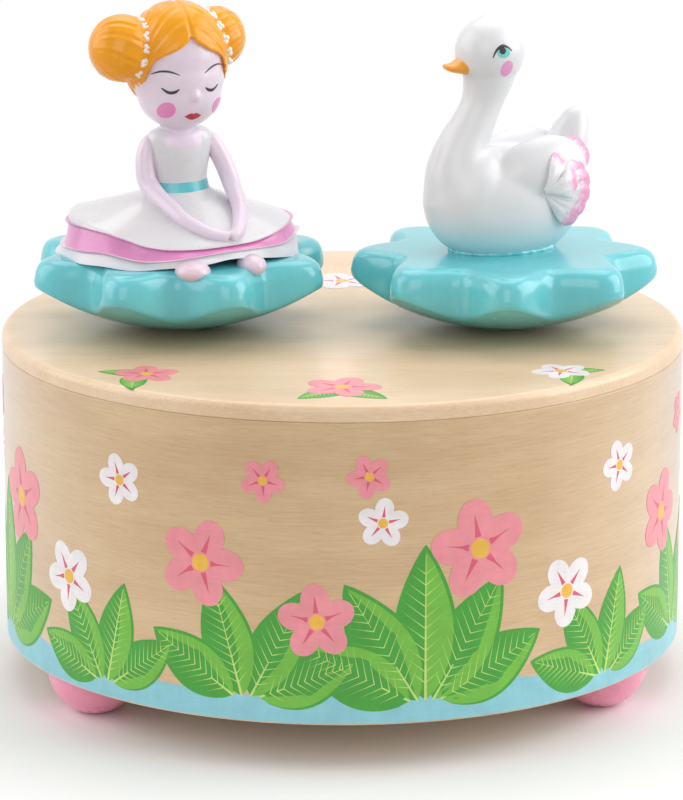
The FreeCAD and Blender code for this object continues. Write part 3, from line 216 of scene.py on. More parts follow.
def cast(solids, voxel, smoothing, cutters=()):
    """Melts solids into one casting, cuts what the cutters hold and softens the edges."""
    blank = blank_object(merged(solids))
    tools = [blank_object(solid) for solid in cutters]
    melt(blank, voxel)
    for tool in tools:
        cut = blank.modifiers.new("cut", "BOOLEAN")
        cut.operation = "DIFFERENCE"
        cut.solver = "EXACT"
        cut.object = tool
    if tools:
        melt(blank, voxel)
    soften = blank.modifiers.new("soften", "SMOOTH")
    soften.factor = SOFTENING
    soften.iterations = smoothing
    graph = bpy.context.evaluated_depsgraph_get()
    mesh = bpy.data.meshes.new_from_object(blank.evaluated_get(graph))
    for used in (blank, *tools):
        bpy.data.objects.remove(used)
    return mesh


def rounded(rings, steps=4):
    """A closed solid through rings, with a soft curve from each ring to the next."""
    columns = [smooth_path(column, steps) for column in zip(*rings)]
    return solid_mesh(ring_solid(list(zip(*columns))))


test_peg = rounded(turned([(1, 0), (2, 3), (1, 6)], 12))
print("three rings, rounded, give", len(test_peg.polygons), "faces")
bpy.data.meshes.remove(test_peg)

# %% [markdown]
# ## Pieces and places
# Every piece moves with the part of the mechanism that carries it, so each rides on a named body of
# the CAD model. Modelling in millimetres keeps the numbers readable, and this step turns them into
# metres. A figure is modelled about its own middle, and its place stands it on its base.

# %% Placing a piece
MM = 0.001
SHARP_EDGE = math.radians(55)
HERE = Matrix.Identity(4)


def piece(body, place, name, mesh, slot, material, *nodes):
    """Puts a mesh in its place in metres, on its body, with its finish."""
    mesh.name = name
    mesh.transform(Matrix.Scale(MM, 4) @ place)
    mesh.materials.clear()
    mesh.materials.append(material)
    mesh.polygons.foreach_set("use_smooth", [True] * len(mesh.polygons))
    mesh.set_sharp_from_angle(angle=SHARP_EDGE)
    obj = bpy.data.objects.new(name, mesh)
    bpy.context.scene.collection.objects.link(obj)
    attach(obj, body)
    if nodes:
        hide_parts(*nodes)
    print(f"{name}: {len(mesh.polygons)} faces on {body}")
    return obj


def box_mm(node):
    """A node's lowest and highest corners in millimetres, to a hundredth."""
    return [[round(value / MM, 2) for value in corner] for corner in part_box(node)]


star_low, star_high = box_mm("swan_base")
STAR_TOP = star_high[2]
STAR_TIP = (star_high[0] - star_low[0]) / 2
FIGURE_CIRCLE = (star_high[0] + star_low[0]) / 2
BALLERINA_TURN = 22.0
SWAN_TURN = -65.0


def stand(x, degrees):
    """A place on top of a star base, turned about its middle."""
    return Matrix.Translation((x, 0, STAR_TOP)) @ Matrix.Rotation(math.radians(degrees), 4, "Z")


ballerina_place = stand(-FIGURE_CIRCLE, BALLERINA_TURN)
swan_place = stand(FIGURE_CIRCLE, SWAN_TURN)
case_piece = partial(piece, "case", HERE)
girl_piece = partial(piece, "ballerina", ballerina_place)
girl_coat = partial(piece, "ballerina", HERE)
swan_piece = partial(piece, "swan", swan_place)
swan_coat = partial(piece, "swan", HERE)
print("the figures stand", FIGURE_CIRCLE, "mm from the axis, at a height of", STAR_TOP, "mm")

# %% [markdown]
# ## Wiring nodes
# A finish in Blender is a tree of nodes. Wired by hand in the editor it takes many clicks, and in a
# script many lines, so a few helpers add one node each. They take either another node's socket,
# which is linked, or a plain value, which is set.

# %% Node tools
def connect(tree, socket, value):
    """Links another node's socket to this one, or sets a number, vector or colour on it."""
    if isinstance(value, bpy.types.NodeSocket):
        tree.links.new(value, socket)
    else:
        socket.default_value = (*value, 1.0) if socket.type == "RGBA" else value


def feed(tree, node, **values):
    """Connects a node's inputs by name; an underscore stands for a space."""
    for label, value in values.items():
        connect(tree, node.inputs[label.replace("_", " ")], value)


def math_node(tree, operation, *values):
    """One arithmetic node."""
    node = tree.nodes.new("ShaderNodeMath")
    node.operation = operation
    for socket, value in zip(node.inputs, values):
        connect(tree, socket, value)
    return node.outputs[0]


def noise_node(tree, vector, scale, detail, roughness=0.55):
    """Cloudy noise over a vector."""
    node = tree.nodes.new("ShaderNodeTexNoise")
    feed(tree, node, Vector=vector, Scale=scale, Detail=detail, Roughness=roughness)
    return node.outputs["Fac"]


def scaled(tree, vector, factors):
    """A vector with each axis multiplied by its own factor."""
    node = tree.nodes.new("ShaderNodeVectorMath")
    node.operation = "MULTIPLY"
    connect(tree, node.inputs[0], vector)
    connect(tree, node.inputs[1], factors)
    return node.outputs["Vector"]


def split(tree, vector):
    """The X, Y and Z of a vector."""
    node = tree.nodes.new("ShaderNodeSeparateXYZ")
    connect(tree, node.inputs[0], vector)
    return node.outputs


def mixed(tree, factor, first, second, blend="MIX"):
    """A mix of two colours; the numbers are the sockets of the node's colour mode."""
    node = tree.nodes.new("ShaderNodeMix")
    node.data_type = "RGBA"
    node.blend_type = blend
    for slot, value in ((0, factor), (6, first), (7, second)):
        connect(tree, node.inputs[slot], value)
    return node.outputs[2]


def spread(tree, value, low, high, to_low=0.0, to_high=1.0):
    """Maps one span of values on to another, with a soft start and end."""
    node = tree.nodes.new("ShaderNodeMapRange")
    node.interpolation_type = "SMOOTHSTEP"
    feed(tree, node, Value=value, From_Min=low, From_Max=high, To_Min=to_low, To_Max=to_high)
    return node.outputs["Result"]


def object_point(tree):
    """The point on the surface, in metres."""
    return tree.nodes.new("ShaderNodeTexCoord").outputs["Object"]


def linear(red, green, blue):
    """A colour written as on a paint chart, 0 to 255, made linear for the shader."""
    def channel(level):
        level /= 255.0
        return level / 12.92 if level <= 0.04045 else ((level + 0.055) / 1.055) ** 2.4
    return channel(red), channel(green), channel(blue)


print("a middle grey of 128 is", round(linear(128, 128, 128)[0], 3), "to the shader")

# %% [markdown]
# ## Paint film
# Figures and feet are brushed with thick glossy paint. Up close such a film is uneven: it has a
# faint mottle, brush strokes and a skin like orange peel. Every painted material needs that, so it
# is one shader group with the colour, mottle and gloss as inputs. It puts out only a colour, a
# roughness and a height.

# %% Paint film
def new_group(name, **inputs):
    """A shader group with named inputs, which puts out a colour, a roughness and a height."""
    group = bpy.data.node_groups.new(name, "ShaderNodeTree")
    outputs = {"Colour": "Color", "Roughness": "Float", "Height": "Float"}
    for way, sockets in (("INPUT", inputs), ("OUTPUT", outputs)):
        for label, kind in sockets.items():
            group.interface.new_socket(label, in_out=way, socket_type="NodeSocket" + kind)
    return group, group.nodes.new("NodeGroupInput").outputs, group.nodes.new("NodeGroupOutput")


def paint_film_group():
    """Brushed-on paint: a faint mottle, a change of gloss and a fine orange peel."""
    group, given, result = new_group("PaintFilm", Colour="Color", Mottle="Float", Gloss="Float")
    point = object_point(group)
    cloud = noise_node(group, point, 240.0, 4.0)
    strokes = noise_node(group, scaled(group, point, (900.0, 900.0, 260.0)), 1.0, 2.0)
    peel = noise_node(group, point, 2600.0, 1.0)
    shade = math_node(group, "SUBTRACT", math_node(group, "MULTIPLY_ADD", strokes, 0.5, cloud), 0.75)
    amount = math_node(group, "MULTIPLY", shade, given["Mottle"])
    tone = group.nodes.new("ShaderNodeHueSaturation")
    feed(group, tone, Color=given["Colour"], Value=math_node(group, "MULTIPLY_ADD", amount, 0.55, 1.0))
    swing = math_node(group, "SUBTRACT", cloud, 0.5)
    feed(group, result,
         Colour=tone.outputs["Color"],
         Roughness=math_node(group, "MULTIPLY_ADD", swing, 0.25, given["Gloss"]),
         Height=math_node(group, "MULTIPLY_ADD", peel, 0.3, cloud))
    return group


paint_film = paint_film_group()
print(paint_film.name, "has", len(paint_film.nodes), "nodes")

# %% [markdown]
# ## Making a material
# Each material is one Principled shader. It could sit inside the group, but then an export can't
# read it, so it stays in the material. What is the same all over, such as the weight of a clear
# coat, is set on the shader's own socket, and only what changes over the surface comes from a
# group. A second colour may be laid over it.

# %% Material makers
BUMP_DEPTH = 0.00012
PAINT_BUMP = 0.12


def place_group(tree, group, **values):
    """Places a shader group with its own values."""
    node = tree.nodes.new("ShaderNodeGroup")
    node.node_tree = group
    feed(tree, node, **values)
    return node


def new_finish(name, bump, effect_of, over=None, **constants):
    """A material whose shader and bump follow one effect; over may lay a second colour on the first."""
    material = bpy.data.materials.new(name)
    material.use_nodes = True
    tree = material.node_tree
    shader = tree.nodes["Principled BSDF"]
    feed(tree, shader, **constants)
    effect = effect_of(tree).outputs
    relief = tree.nodes.new("ShaderNodeBump")
    feed(tree, relief, Strength=bump, Distance=BUMP_DEPTH, Height=effect["Height"])
    colour = over(tree, effect["Colour"]) if over else effect["Colour"]
    feed(tree, shader, Base_Color=colour, Roughness=effect["Roughness"], Normal=relief.outputs["Normal"])
    return material


def paint(name, colour, mottle, gloss, coat, specular=0.5, coat_blur=0.12, bump=PAINT_BUMP, over=None):
    """Brushed paint under a clear coat."""
    def film(tree):
        return place_group(tree, paint_film, Colour=colour, Mottle=mottle, Gloss=gloss)
    return new_finish(name, bump, film, over, Coat_Weight=coat, Coat_Roughness=coat_blur,
                      Specular_IOR_Level=specular)


foot_paint = paint("foot_pink", linear(240, 152, 178), 0.3, 0.3, 0.4)
print(foot_paint.name, "has", len(foot_paint.node_tree.nodes), "nodes")

# %% [markdown]
# ## Wood grain
# The case is pale maple. Its grain is long noise, stretched along one axis: broad streaks, fine
# fibres and short dark flecks. A picture of wood would repeat and blur, so the noise is worked out
# from a vector. The wall is a bent ring whose grain runs round it, so its vector is the unrolled
# ring; the flat pieces have straight grain.

# %% Wood grain
WOOD_BUMP = 0.25
DRUM_RADIUS = box_mm("drum_wall")[1][0]


def wood_grain_group():
    """Maple, with its grain along the vector's X, in millimetres."""
    group, given, result = new_group("MapleGrain", Vector="Vector", Light="Color", Dark="Color")
    vector = given["Vector"]
    streaks = noise_node(group, scaled(group, vector, (0.018, 0.16, 0.16)), 1.0, 4.0, 0.6)
    fibres = noise_node(group, scaled(group, vector, (0.16, 3.0, 3.0)), 1.0, 3.0, 0.7)
    flecks = noise_node(group, scaled(group, vector, (0.32, 3.4, 3.4)), 1.0, 1.0)
    clouds = noise_node(group, vector, 0.035, 2.0)
    blend = math_node(group, "MULTIPLY_ADD", fibres, 0.45, math_node(group, "MULTIPLY", streaks, 0.4))
    blend = math_node(group, "MULTIPLY_ADD", clouds, 0.4, blend)
    base = mixed(group, spread(group, blend, 0.40, 0.86), given["Dark"], given["Light"])
    fleck_mask = spread(group, flecks, 0.60, 0.72, 0.0, 0.16)
    feed(group, result,
         Colour=mixed(group, fleck_mask, base, given["Dark"], "MULTIPLY"),
         Roughness=spread(group, fibres, 0.2, 0.8, 0.44, 0.30),
         Height=fibres)
    return group


def wall_vector(tree):
    """Unrolls the wall: the way round the drum, then the height, with the join at the back."""
    at = split(tree, object_point(tree))
    angle = math_node(tree, "ARCTAN2", at["X"], math_node(tree, "MULTIPLY", at["Y"], -1.0))
    strip = tree.nodes.new("ShaderNodeCombineXYZ")
    feed(tree, strip,
         X=math_node(tree, "MULTIPLY", angle, DRUM_RADIUS),
         Y=math_node(tree, "MULTIPLY", at["Z"], 1.0 / MM))
    return strip.outputs["Vector"]


def flat_vector(tree):
    """Straight grain along the drum's X."""
    return scaled(tree, object_point(tree), (1.0 / MM,) * 3)


def maple(name, vector_of, light, dark, coat, sheen=0.0):
    """Lacquered maple."""
    def grain(tree):
        return place_group(tree, wood_grain, Vector=vector_of(tree), Light=light, Dark=dark)
    return new_finish(name, WOOD_BUMP, grain, Coat_Weight=coat, Coat_Roughness=0.17,
                      Sheen_Weight=sheen, Sheen_Roughness=0.5)


wood_grain = wood_grain_group()
# Wall and top are one maple: the top's copy is painted lighter, as painted light from above, and the wall's
# darker, as painted shade.
shaded_wall_maple = maple("maple_wall_painted_shade", wall_vector, linear(221, 190, 146), linear(195, 158, 113), 0.25, 0.8)
lit_top_maple = maple("maple_top_painted_light", flat_vector, linear(242, 214, 181), linear(221, 187, 148), 0.35)
base_wood = maple("maple_base", flat_vector, linear(226, 200, 160), linear(196, 160, 115), 0.1)
print(wood_grain.name, "serves", wood_grain.users, "materials")

# %% [markdown]
# ## Drum wall and top plate
# The wall is a ring of bent wood and the top a thin disc with a rounded rim. The CAD solids have
# the right size, but their facets would show on the rim against white. So both are turned again
# from an outline of radius and height, with more segments and with the small rounds that sanding
# leaves on every edge.

# %% Drum wall and top plate
RIM_SEGMENTS = 256
FOOT_HEIGHT = box_mm("drum_wall")[0][2]
PLATE_BOTTOM, TOP_LEVEL = (corner[2] for corner in box_mm("top_plate"))
WALL_INNER = 54.5
WALL_FOOT_LAND = 0.8
WALL_FOOT_ROUND = 0.25
WALL_HEAD_LAND = 0.45
WALL_HEAD_ROUND = 0.3
PLATE_FOOT_LAND = 0.6
PLATE_FOOT_ROUND = 0.2
RIM_ROUND = 1.3
PIN_HOLE = 0.02


def arc(edge, level, radius, start, end, steps=6):
    """Points of an arc in a turned outline: its outermost radius, its level, and two bearings in degrees."""
    points = []
    for step in range(steps + 1):
        angle = math.radians(start + (end - start) * step / steps)
        points.append((edge - radius + radius * math.cos(angle), level + radius * math.sin(angle)))
    return points


wall_outline = [
    (WALL_INNER, FOOT_HEIGHT),
    (DRUM_RADIUS - WALL_FOOT_LAND, FOOT_HEIGHT),
    *arc(DRUM_RADIUS, FOOT_HEIGHT + WALL_FOOT_ROUND, WALL_FOOT_ROUND, -90, 0),
    *((DRUM_RADIUS, z) for z in (12.0, 25.0, 42.0, 56.0)),
    *arc(DRUM_RADIUS, PLATE_BOTTOM - WALL_HEAD_ROUND, WALL_HEAD_ROUND, 0, 80),
    (DRUM_RADIUS - WALL_HEAD_LAND, PLATE_BOTTOM),
    (WALL_INNER, PLATE_BOTTOM),
]
plate_outline = [
    *((radius, PLATE_BOTTOM) for radius in (PIN_HOLE, WALL_INNER, DRUM_RADIUS - PLATE_FOOT_LAND)),
    *arc(DRUM_RADIUS, PLATE_BOTTOM + PLATE_FOOT_ROUND, PLATE_FOOT_ROUND, -90, 0),
    *arc(DRUM_RADIUS, TOP_LEVEL - RIM_ROUND, RIM_ROUND, 0, 90, 8),
    *((radius, TOP_LEVEL) for radius in (52.0, 40.0, 20.0, 5.0, PIN_HOLE)),
]
wall_hoop = ring_loop(turned(wall_outline, RIM_SEGMENTS))
case_piece("drum_wall_turned", solid_mesh(wall_hoop), "maple", shaded_wall_maple, "drum_wall")
plate_disc = ring_solid(turned(plate_outline, RIM_SEGMENTS))
case_piece("top_plate_turned", solid_mesh(plate_disc), "maple", lit_top_maple, "top_plate")

# %% [markdown]
# ## Ball feet
# Each foot is a painted half ball, flat where it stands and flat where it is screwed to the drum. A
# ball could be cut twice, but one arc as a turned outline gives both flats at once.

# %% Feet
FOOT_SEGMENTS = 72
FOOT_RADIUS = 8.2
FOOT_SEAT_INSET = 0.15
FOOT_SOLE_HUB = 0.4
FOOT_SEAT_HUB = 2.0
sole_angle = -math.degrees(math.asin(FOOT_HEIGHT / FOOT_RADIUS))
foot_outline = [
    (FOOT_SOLE_HUB, -FOOT_HEIGHT),
    *arc(FOOT_RADIUS, 0.0, FOOT_RADIUS, sole_angle, -2, 20),
    (FOOT_RADIUS - FOOT_SEAT_INSET, 0.0),
    (FOOT_SEAT_HUB, 0.0),
]
for foot in ("foot_front_left", "foot_front_right", "foot_rear"):
    low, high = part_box(foot)
    centre = (low + high) / 2 / MM
    seat = Matrix.Translation((centre.x, centre.y, FOOT_HEIGHT))
    ball = solid_mesh(ring_solid(turned(foot_outline, FOOT_SEGMENTS)))
    piece("case", seat, foot + "_ball", ball, "pink_feet", foot_paint, foot)

# %% [markdown]
# ## Star bases
# Both figures stand on the same eight-pointed resin base, whose underside is a shallow dome so that
# it glides. A star could be cut from a disc, but its points are soft, so the rim follows a cosine
# wave instead. One grid of rings runs from the middle of the dome round the rim to the middle of
# the top. Under the star the turquoise is painted darker, as painted shade.

# %% Star bases
STAR_SEGMENTS = 192
STAR_POINTS = 8
STAR_VALLEY = 21.2
STAR_HEIGHT = STAR_TOP - TOP_LEVEL
DOME_RADIUS = 46.0
DOME_FLAT = 0.3
RIM_DROP = 0.92
RIM_LEAST = 1.7
SHADE_RISE = 9.0
UNDER_SHARES = (0.02, 0.19, 0.3, 0.45, 0.6, 0.72, 0.82, 0.9, 0.955)
TOP_SHARES = (0.86, 0.72, 0.5, 0.25, 0.02)
# Each row: an inset from the star's reach, and a rise from the dome's edge or, if below 0, from the top.
RIM_ROWS = ((0.25, 0.5), (0.0, 1.5), (0.1, -3.3), (0.45, -1.9), (1.15, -0.85), (2.3, -0.22))


def painted_shade_underneath(tree, colour):
    """A darker turquoise painted on the lower part of the dome, as painted shade under the star."""
    foot = TOP_LEVEL * MM
    # Painted shade: full at the foot of the dome, none by SHADE_RISE above it.
    shade_share = spread(tree, split(tree, object_point(tree))["Z"], foot, foot + SHADE_RISE * MM, 0.85, 0.0)
    return mixed(tree, shade_share, colour, linear(48, 142, 150))


def star_reach(angle):
    """How far the star's rim reaches at an angle."""
    wave = 0.5 + 0.5 * math.cos(STAR_POINTS * angle)
    return STAR_VALLEY + (STAR_TIP - STAR_VALLEY) * wave


def dome(radius):
    """The level of the domed underside at a radius."""
    return DOME_RADIUS - math.sqrt(DOME_RADIUS ** 2 - radius ** 2)


def rim_level(reach, rise):
    """A level on the rim where the star has this reach."""
    edge = dome(reach) * RIM_DROP
    return edge + rise if rise > 0 else max(STAR_HEIGHT + rise, edge + RIM_LEAST)


def star_ring(radius_and_level):
    """One ring of the star; a function gives its radius and level for each reach."""
    def spot(angle):
        radius, level = radius_and_level(star_reach(angle))
        return round_point(radius, angle, level)
    return ring_of(STAR_SEGMENTS, spot)


star_rings = [star_ring(lambda reach: (reach * share, max(dome(reach * share), DOME_FLAT)))
              for share in UNDER_SHARES]
star_rings += [star_ring(lambda reach: (reach - inset, rim_level(reach, rise))) for inset, rise in RIM_ROWS]
star_rings += [star_ring(lambda reach: (reach * share, STAR_HEIGHT)) for share in TOP_SHARES]
# The star's paint carries painted shade on its underside.
star_paint = paint("turquoise_star", linear(103, 202, 211), 0.35, 0.22, 0.35, over=painted_shade_underneath)
for body, x, degrees in (("ballerina", -FIGURE_CIRCLE, 180 / STAR_POINTS), ("swan", FIGURE_CIRCLE, 0.0)):
    place = Matrix.Translation((0, 0, -STAR_HEIGHT)) @ stand(x, degrees)
    piece(body, place, body + "_star", rounded(star_rings), "turquoise_resin", star_paint, body + "_base")

# %% [markdown]
# ## The hem
# The girl sits, so the skirt spreads into a wide cushion that dips in front, where the hands lie.
# White skirt, pink band and white frill are painted layers of one casting. They could be sculpted,
# but a table by angle is easier to correct: it says how high each layer stands all round, and the
# layers share their edges.

# %% Hem levels
FRONT_WIDTH = 1.05
BACK_WIDTH = 0.9
HEM_REACH = 20.6
FRONT_DRAW = 2.6
BACK_DRAW = 3.2
BAND_LEAN = 0.6
HEM_BLUR = (-8, -4, 0, 4, 8)
# Each row: degrees from the front, the band's top, the band's foot, the frill's foot, and the brim's rise.
HEM = (
    (-145, 4.8, 1.7, 0.0, 1.8), (-112, 5.2, 1.2, -0.2, 2.1), (-74, 5.7, 2.0, -0.1, 0.8),
    (-58, 5.4, 2.6, 0.4, 0.5), (-45, 4.2, 1.5, -0.1, 0.4), (-32, 3.3, 1.5, 0.2, 0.3),
    (-9, 3.2, 2.3, 0.9, 0.25), (7, 3.4, 2.8, 1.6, 0.25), (29, 3.6, 2.7, 0.9, 0.3),
    (45, 4.3, 2.3, 0.0, 0.3), (68, 5.1, 3.3, -0.1, 0.3), (100, 4.7, 2.0, 0.2, 0.7),
    (130, 4.8, 1.5, -0.1, 1.0), (155, 4.6, 2.0, 0.3, 1.2), (180, 4.8, 1.4, 0.0, 1.2),
)


def off_front(angle):
    """The angle from the girl's front, which faces -Y, between half a turn either way."""
    return (angle + 1.5 * math.pi) % TURN - math.pi


def frontness(angle):
    """1 at the front, falling to 0 at the back."""
    return math.exp(-(off_front(angle) / FRONT_WIDTH) ** 2)


def hem_reach(angle):
    """How far the hem reaches: less in front and least behind."""
    behind = math.exp(-((math.pi - abs(off_front(angle))) / BACK_WIDTH) ** 2)
    return HEM_REACH - FRONT_DRAW * frontness(angle) - BACK_DRAW * behind


def band_reach(angle):
    """The pink band leans in towards its upper edge, most of all in front."""
    return hem_reach(angle) - BAND_LEAN - BAND_LEAN * frontness(angle)


def hem_row(off):
    """The hem table at an angle in degrees from the front, eased between its rows."""
    off = (off + 180) % 360 - 180
    rows = [(HEM[-1][0] - 360, *HEM[-1][1:]), *HEM]
    for low, high in zip(rows, rows[1:]):
        if low[0] <= off <= high[0]:
            t = (off - low[0]) / (high[0] - low[0])
            ease = t * t * (3 - 2 * t)
            return [a * (1 - ease) + b * ease for a, b in zip(low, high)]


def hem_level(column):
    """A function that reads one column at an angle, averaged over a few degrees so that no crease shows."""
    def level(angle):
        off = math.degrees(off_front(angle))
        return sum(hem_row(off + shift)[column] for shift in HEM_BLUR) / len(HEM_BLUR)
    return level


band_top, band_foot, frill_foot, brim_rise = (hem_level(column) for column in (1, 2, 3, 4))
print("the band's top at the front:", round(band_top(-math.pi / 2), 2), "mm above the star")

# %% [markdown]
# ## Frill and band
# Each layer of the skirt is a closed ring of rings. A ring is described by what it follows: the hem
# or the band outwards, and one of the levels upwards. So a layer is a short list of offsets from
# its neighbours, and the layers keep meeting when the hem's table changes.

# %% Frill and band
SKIRT_SEGMENTS = 240
SKIRT_CORE = 6.0


def ripple(angle):
    """The waves of the frill's edge."""
    return 0.55 * math.sin(7 * angle + 0.6) + 0.35 * math.sin(11 * angle + 2.0)


def steady(value):
    """A function that is the same at every angle."""
    return lambda angle: value


def halfway(first, second):
    """A function midway between two others."""
    return lambda angle: first(angle) * 0.5 + second(angle) * 0.5


def skirt_ring(reach, level):
    """One ring of the skirt from two functions of the angle."""
    return ring_of(SKIRT_SEGMENTS, lambda angle: round_point(reach(angle), angle, level(angle)))


def layer_rings(rows):
    """Rings from rows of: what to follow outwards, how far past it, a share of ripple, a level, a rise."""
    return [skirt_ring(lambda angle: reach(angle) + out + waves * ripple(angle),
                       lambda angle: level(angle) + rise)
            for reach, out, waves, level, rise in rows]


core = steady(SKIRT_CORE)
frill_rings = layer_rings((
    (hem_reach, -4.0, 0.0, steady(0.2), 0.0),
    (hem_reach, 0.8, 0.6, frill_foot, -0.05),
    (hem_reach, 1.3, 0.6, frill_foot, 0.2),
    (hem_reach, 0.95, 0.4, halfway(frill_foot, band_foot), 0.0),
    (hem_reach, 0.45, 0.0, band_foot, -0.12),
    (hem_reach, 0.0, 0.0, band_foot, 0.05),
    (core, 0.0, 0.0, steady(1.4), 0.0),
))
band_rings = layer_rings((
    (core, 0.0, 0.0, steady(1.4), 0.0),
    (hem_reach, -0.1, 0.0, band_foot, -0.05),
    (hem_reach, 0.22, 0.0, band_foot, 0.1),
    (halfway(hem_reach, band_reach), 0.125, 0.0, halfway(band_foot, band_top), 0.0),
    (band_reach, 0.08, 0.0, band_top, -0.1),
    (band_reach, -0.3, 0.0, band_top, 0.05),
    (core, 0.0, 0.0, steady(2.6), 0.0),
))
frill_paint = paint("frill_enamel", linear(224, 223, 228), 0.16, 0.32, 0.35)
band_paint = paint("hem_enamel", linear(226, 138, 194), 0.3, 0.3, 0.45)
girl_piece("skirt_frill", rounded(frill_rings), "petticoat_white", frill_paint, "ballerina_petticoat")
girl_piece("skirt_band", rounded(band_rings), "hem_pink", band_paint, "ballerina_hem")

# %% [markdown]
# ## Skirt top and bodice
# The white part rises from the pink band over a rolled brim to the waist, then narrows into the
# bodice. Two pieces would need a seam at the waist, which the casting hasn't got. So one row of
# rings turns by and by from the skirt's wavy outline into the oval of the body.

# %% Skirt top and bodice
WAIST_LEVEL = 10.6
WAIST_WIDTH = 5.2
WAIST_DEPTH = 4.2
BRIM_ROLL = 0.65
# Each row: the share of the way out from the waist, and of the rise from the brim to the waist.
SKIRT_FALL = ((0.955, 0.02), (0.86, 0.12), (0.70, 0.28), (0.52, 0.46),
              (0.35, 0.64), (0.18, 0.82), (0.05, 0.96))
# Each row: a level, and the body's half width and half depth there.
BODICE = ((11.5, 4.95, 4.0), (13.2, 4.9, 3.95), (15.2, 5.2, 4.1), (17.2, 5.55, 4.1),
          (18.9, 5.8, 3.9), (20.1, 5.8, 3.6), (21.0, 5.2, 3.1), (21.6, 4.0, 2.4))


def oval(width, depth):
    """The reach of an oval with this half width and half depth."""
    return lambda angle: 1.0 / math.sqrt((math.cos(angle) / width) ** 2 + (math.sin(angle) / depth) ** 2)


waist = oval(WAIST_WIDTH, WAIST_DEPTH)


def fall_ring(share, rise):
    """A ring between waist and hem."""
    def reach(angle):
        return waist(angle) + (band_reach(angle) - waist(angle)) * share

    def level(angle):
        brim = band_top(angle) + brim_rise(angle)
        return brim + (WAIST_LEVEL - brim) * rise
    return skirt_ring(reach, level)


gown_rings = layer_rings((
    (core, 0.0, 0.0, steady(2.5), 0.0),
    (band_reach, -0.35, 0.0, band_top, -0.05),
    (band_reach, 0.05, 0.0, band_top, 0.12),
    (band_reach, -0.05, 0.0, lambda angle: band_top(angle) + brim_rise(angle) * BRIM_ROLL, 0.0),
))
gown_rings += [fall_ring(share, rise) for share, rise in SKIRT_FALL]
gown_rings += [skirt_ring(oval(width, depth), steady(level)) for level, width, depth in BODICE]
gown_paint = paint("gown_enamel", linear(220, 219, 222), 0.16, 0.3, 0.4)
gown = girl_piece("gown", rounded(gown_rings), "dress_white", gown_paint, "ballerina_dress")

# %% [markdown]
# ## Painting on a surface
# Brows, lips, cheeks and the skin inside the neckline are paint. A mask in the material would be
# soft at its edge, and would be lost if the form changed. So each is a very thin closed coat,
# thrown on to the form from one side: it follows the curve and stays crisp from everywhere.

# %% Coats and strokes
THROW = 60.0
MISS_REACH = 58.0
STROKE_EDGE = 0.02
STROKE_FLAT = 0.6
ELLIPSE_POINTS = 40


def thrown_on(target, place, towards):
    """A function that drops a flat point on a piece along a direction, then lifts it by a height."""
    surface = BVHTree.FromPolygons([v.co.copy() for v in target.data.vertices],
                                   [tuple(f.vertices) for f in target.data.polygons])
    towards = Vector(towards)
    heading = (place.to_3x3() @ towards).normalized()
    side = towards.cross(Vector((0, 0, 1))).normalized()

    def onto(point, height):
        start = place @ (side * point[0] + Vector((0, 0, point[1])) - towards * THROW)
        spot, normal, _, _ = surface.ray_cast(start * MM, heading)
        if spot is None:
            spot, normal, _, _ = surface.find_nearest((start + heading * MISS_REACH) * MM)
        return spot / MM + normal * height
    return onto


def coat(outline, onto, lift=0.06, sink=0.12, rows=4):
    """A thin closed film inside an outline, as rings that shrink towards its middle."""
    points = [Vector(point) for point in outline]
    if sum(a.cross(b) for a, b in zip(points, points[1:] + points[:1])) < 0:
        points.reverse()
    middle = sum(points, Vector((0, 0))) / len(points)
    shares = [row / rows for row in range(1, rows + 1)]
    under = [[onto(middle + (p - middle) * share, -sink) for p in points] for share in shares]
    over = [[onto(middle + (p - middle) * share, lift) for p in points] for share in reversed(shares)]
    return ring_solid(under + over)


def stroke(path, widths, onto, lift=0.07, sink=0.12):
    """A brush stroke along a flat path: flat-topped, and tapered by its widths."""
    line = smooth_path([(x, z, width) for (x, z), width in zip(path, widths)], 6)
    rings = []
    for i, (x, z, width) in enumerate(line):
        before = line[max(i - 1, 0)]
        after = line[min(i + 1, len(line) - 1)]
        along = Vector((after.x - before.x, after.y - before.y)).normalized()
        side = Vector((-along.y, along.x)) * width / 2
        spot = Vector((x, z))
        rings.append([onto(spot - side, -STROKE_EDGE), onto(spot - side * STROKE_FLAT, lift),
                      onto(spot + side * STROKE_FLAT, lift), onto(spot + side, -STROKE_EDGE),
                      onto(spot, -sink)])
    return ring_solid(rings)


def turned_points(points, x, z, degrees):
    """Flat points turned about 0, 0 and then moved."""
    turn = math.radians(degrees)
    return [(x + u * math.cos(turn) - w * math.sin(turn), z + u * math.sin(turn) + w * math.cos(turn))
            for u, w in points]


def ellipse(x, z, half_width, half_height, tilt=0.0):
    """The outline of a flat ellipse."""
    points = ring_of(ELLIPSE_POINTS,
                     lambda angle: (half_width * math.cos(angle), half_height * math.sin(angle)))
    return turned_points(points, x, z, tilt)


on_gown = thrown_on(gown, ballerina_place, (0, 1, 0))
print("the middle of the bodice lies at", [round(value, 1) for value in on_gown((0.0, 16.0), 0.0)], "mm")

# %% [markdown]
# ## Head, neck and arms
# The head is an egg with a small nose, and it runs into the neck. Skull, jaw, nose and neck could
# be one sculpted mesh; four balls and a tube, melted together, are easier to move about and leave
# no seam. The arms hang from the shoulders and meet in the lap: each is a tube through a few
# stations. Two shoe tips peep out below.

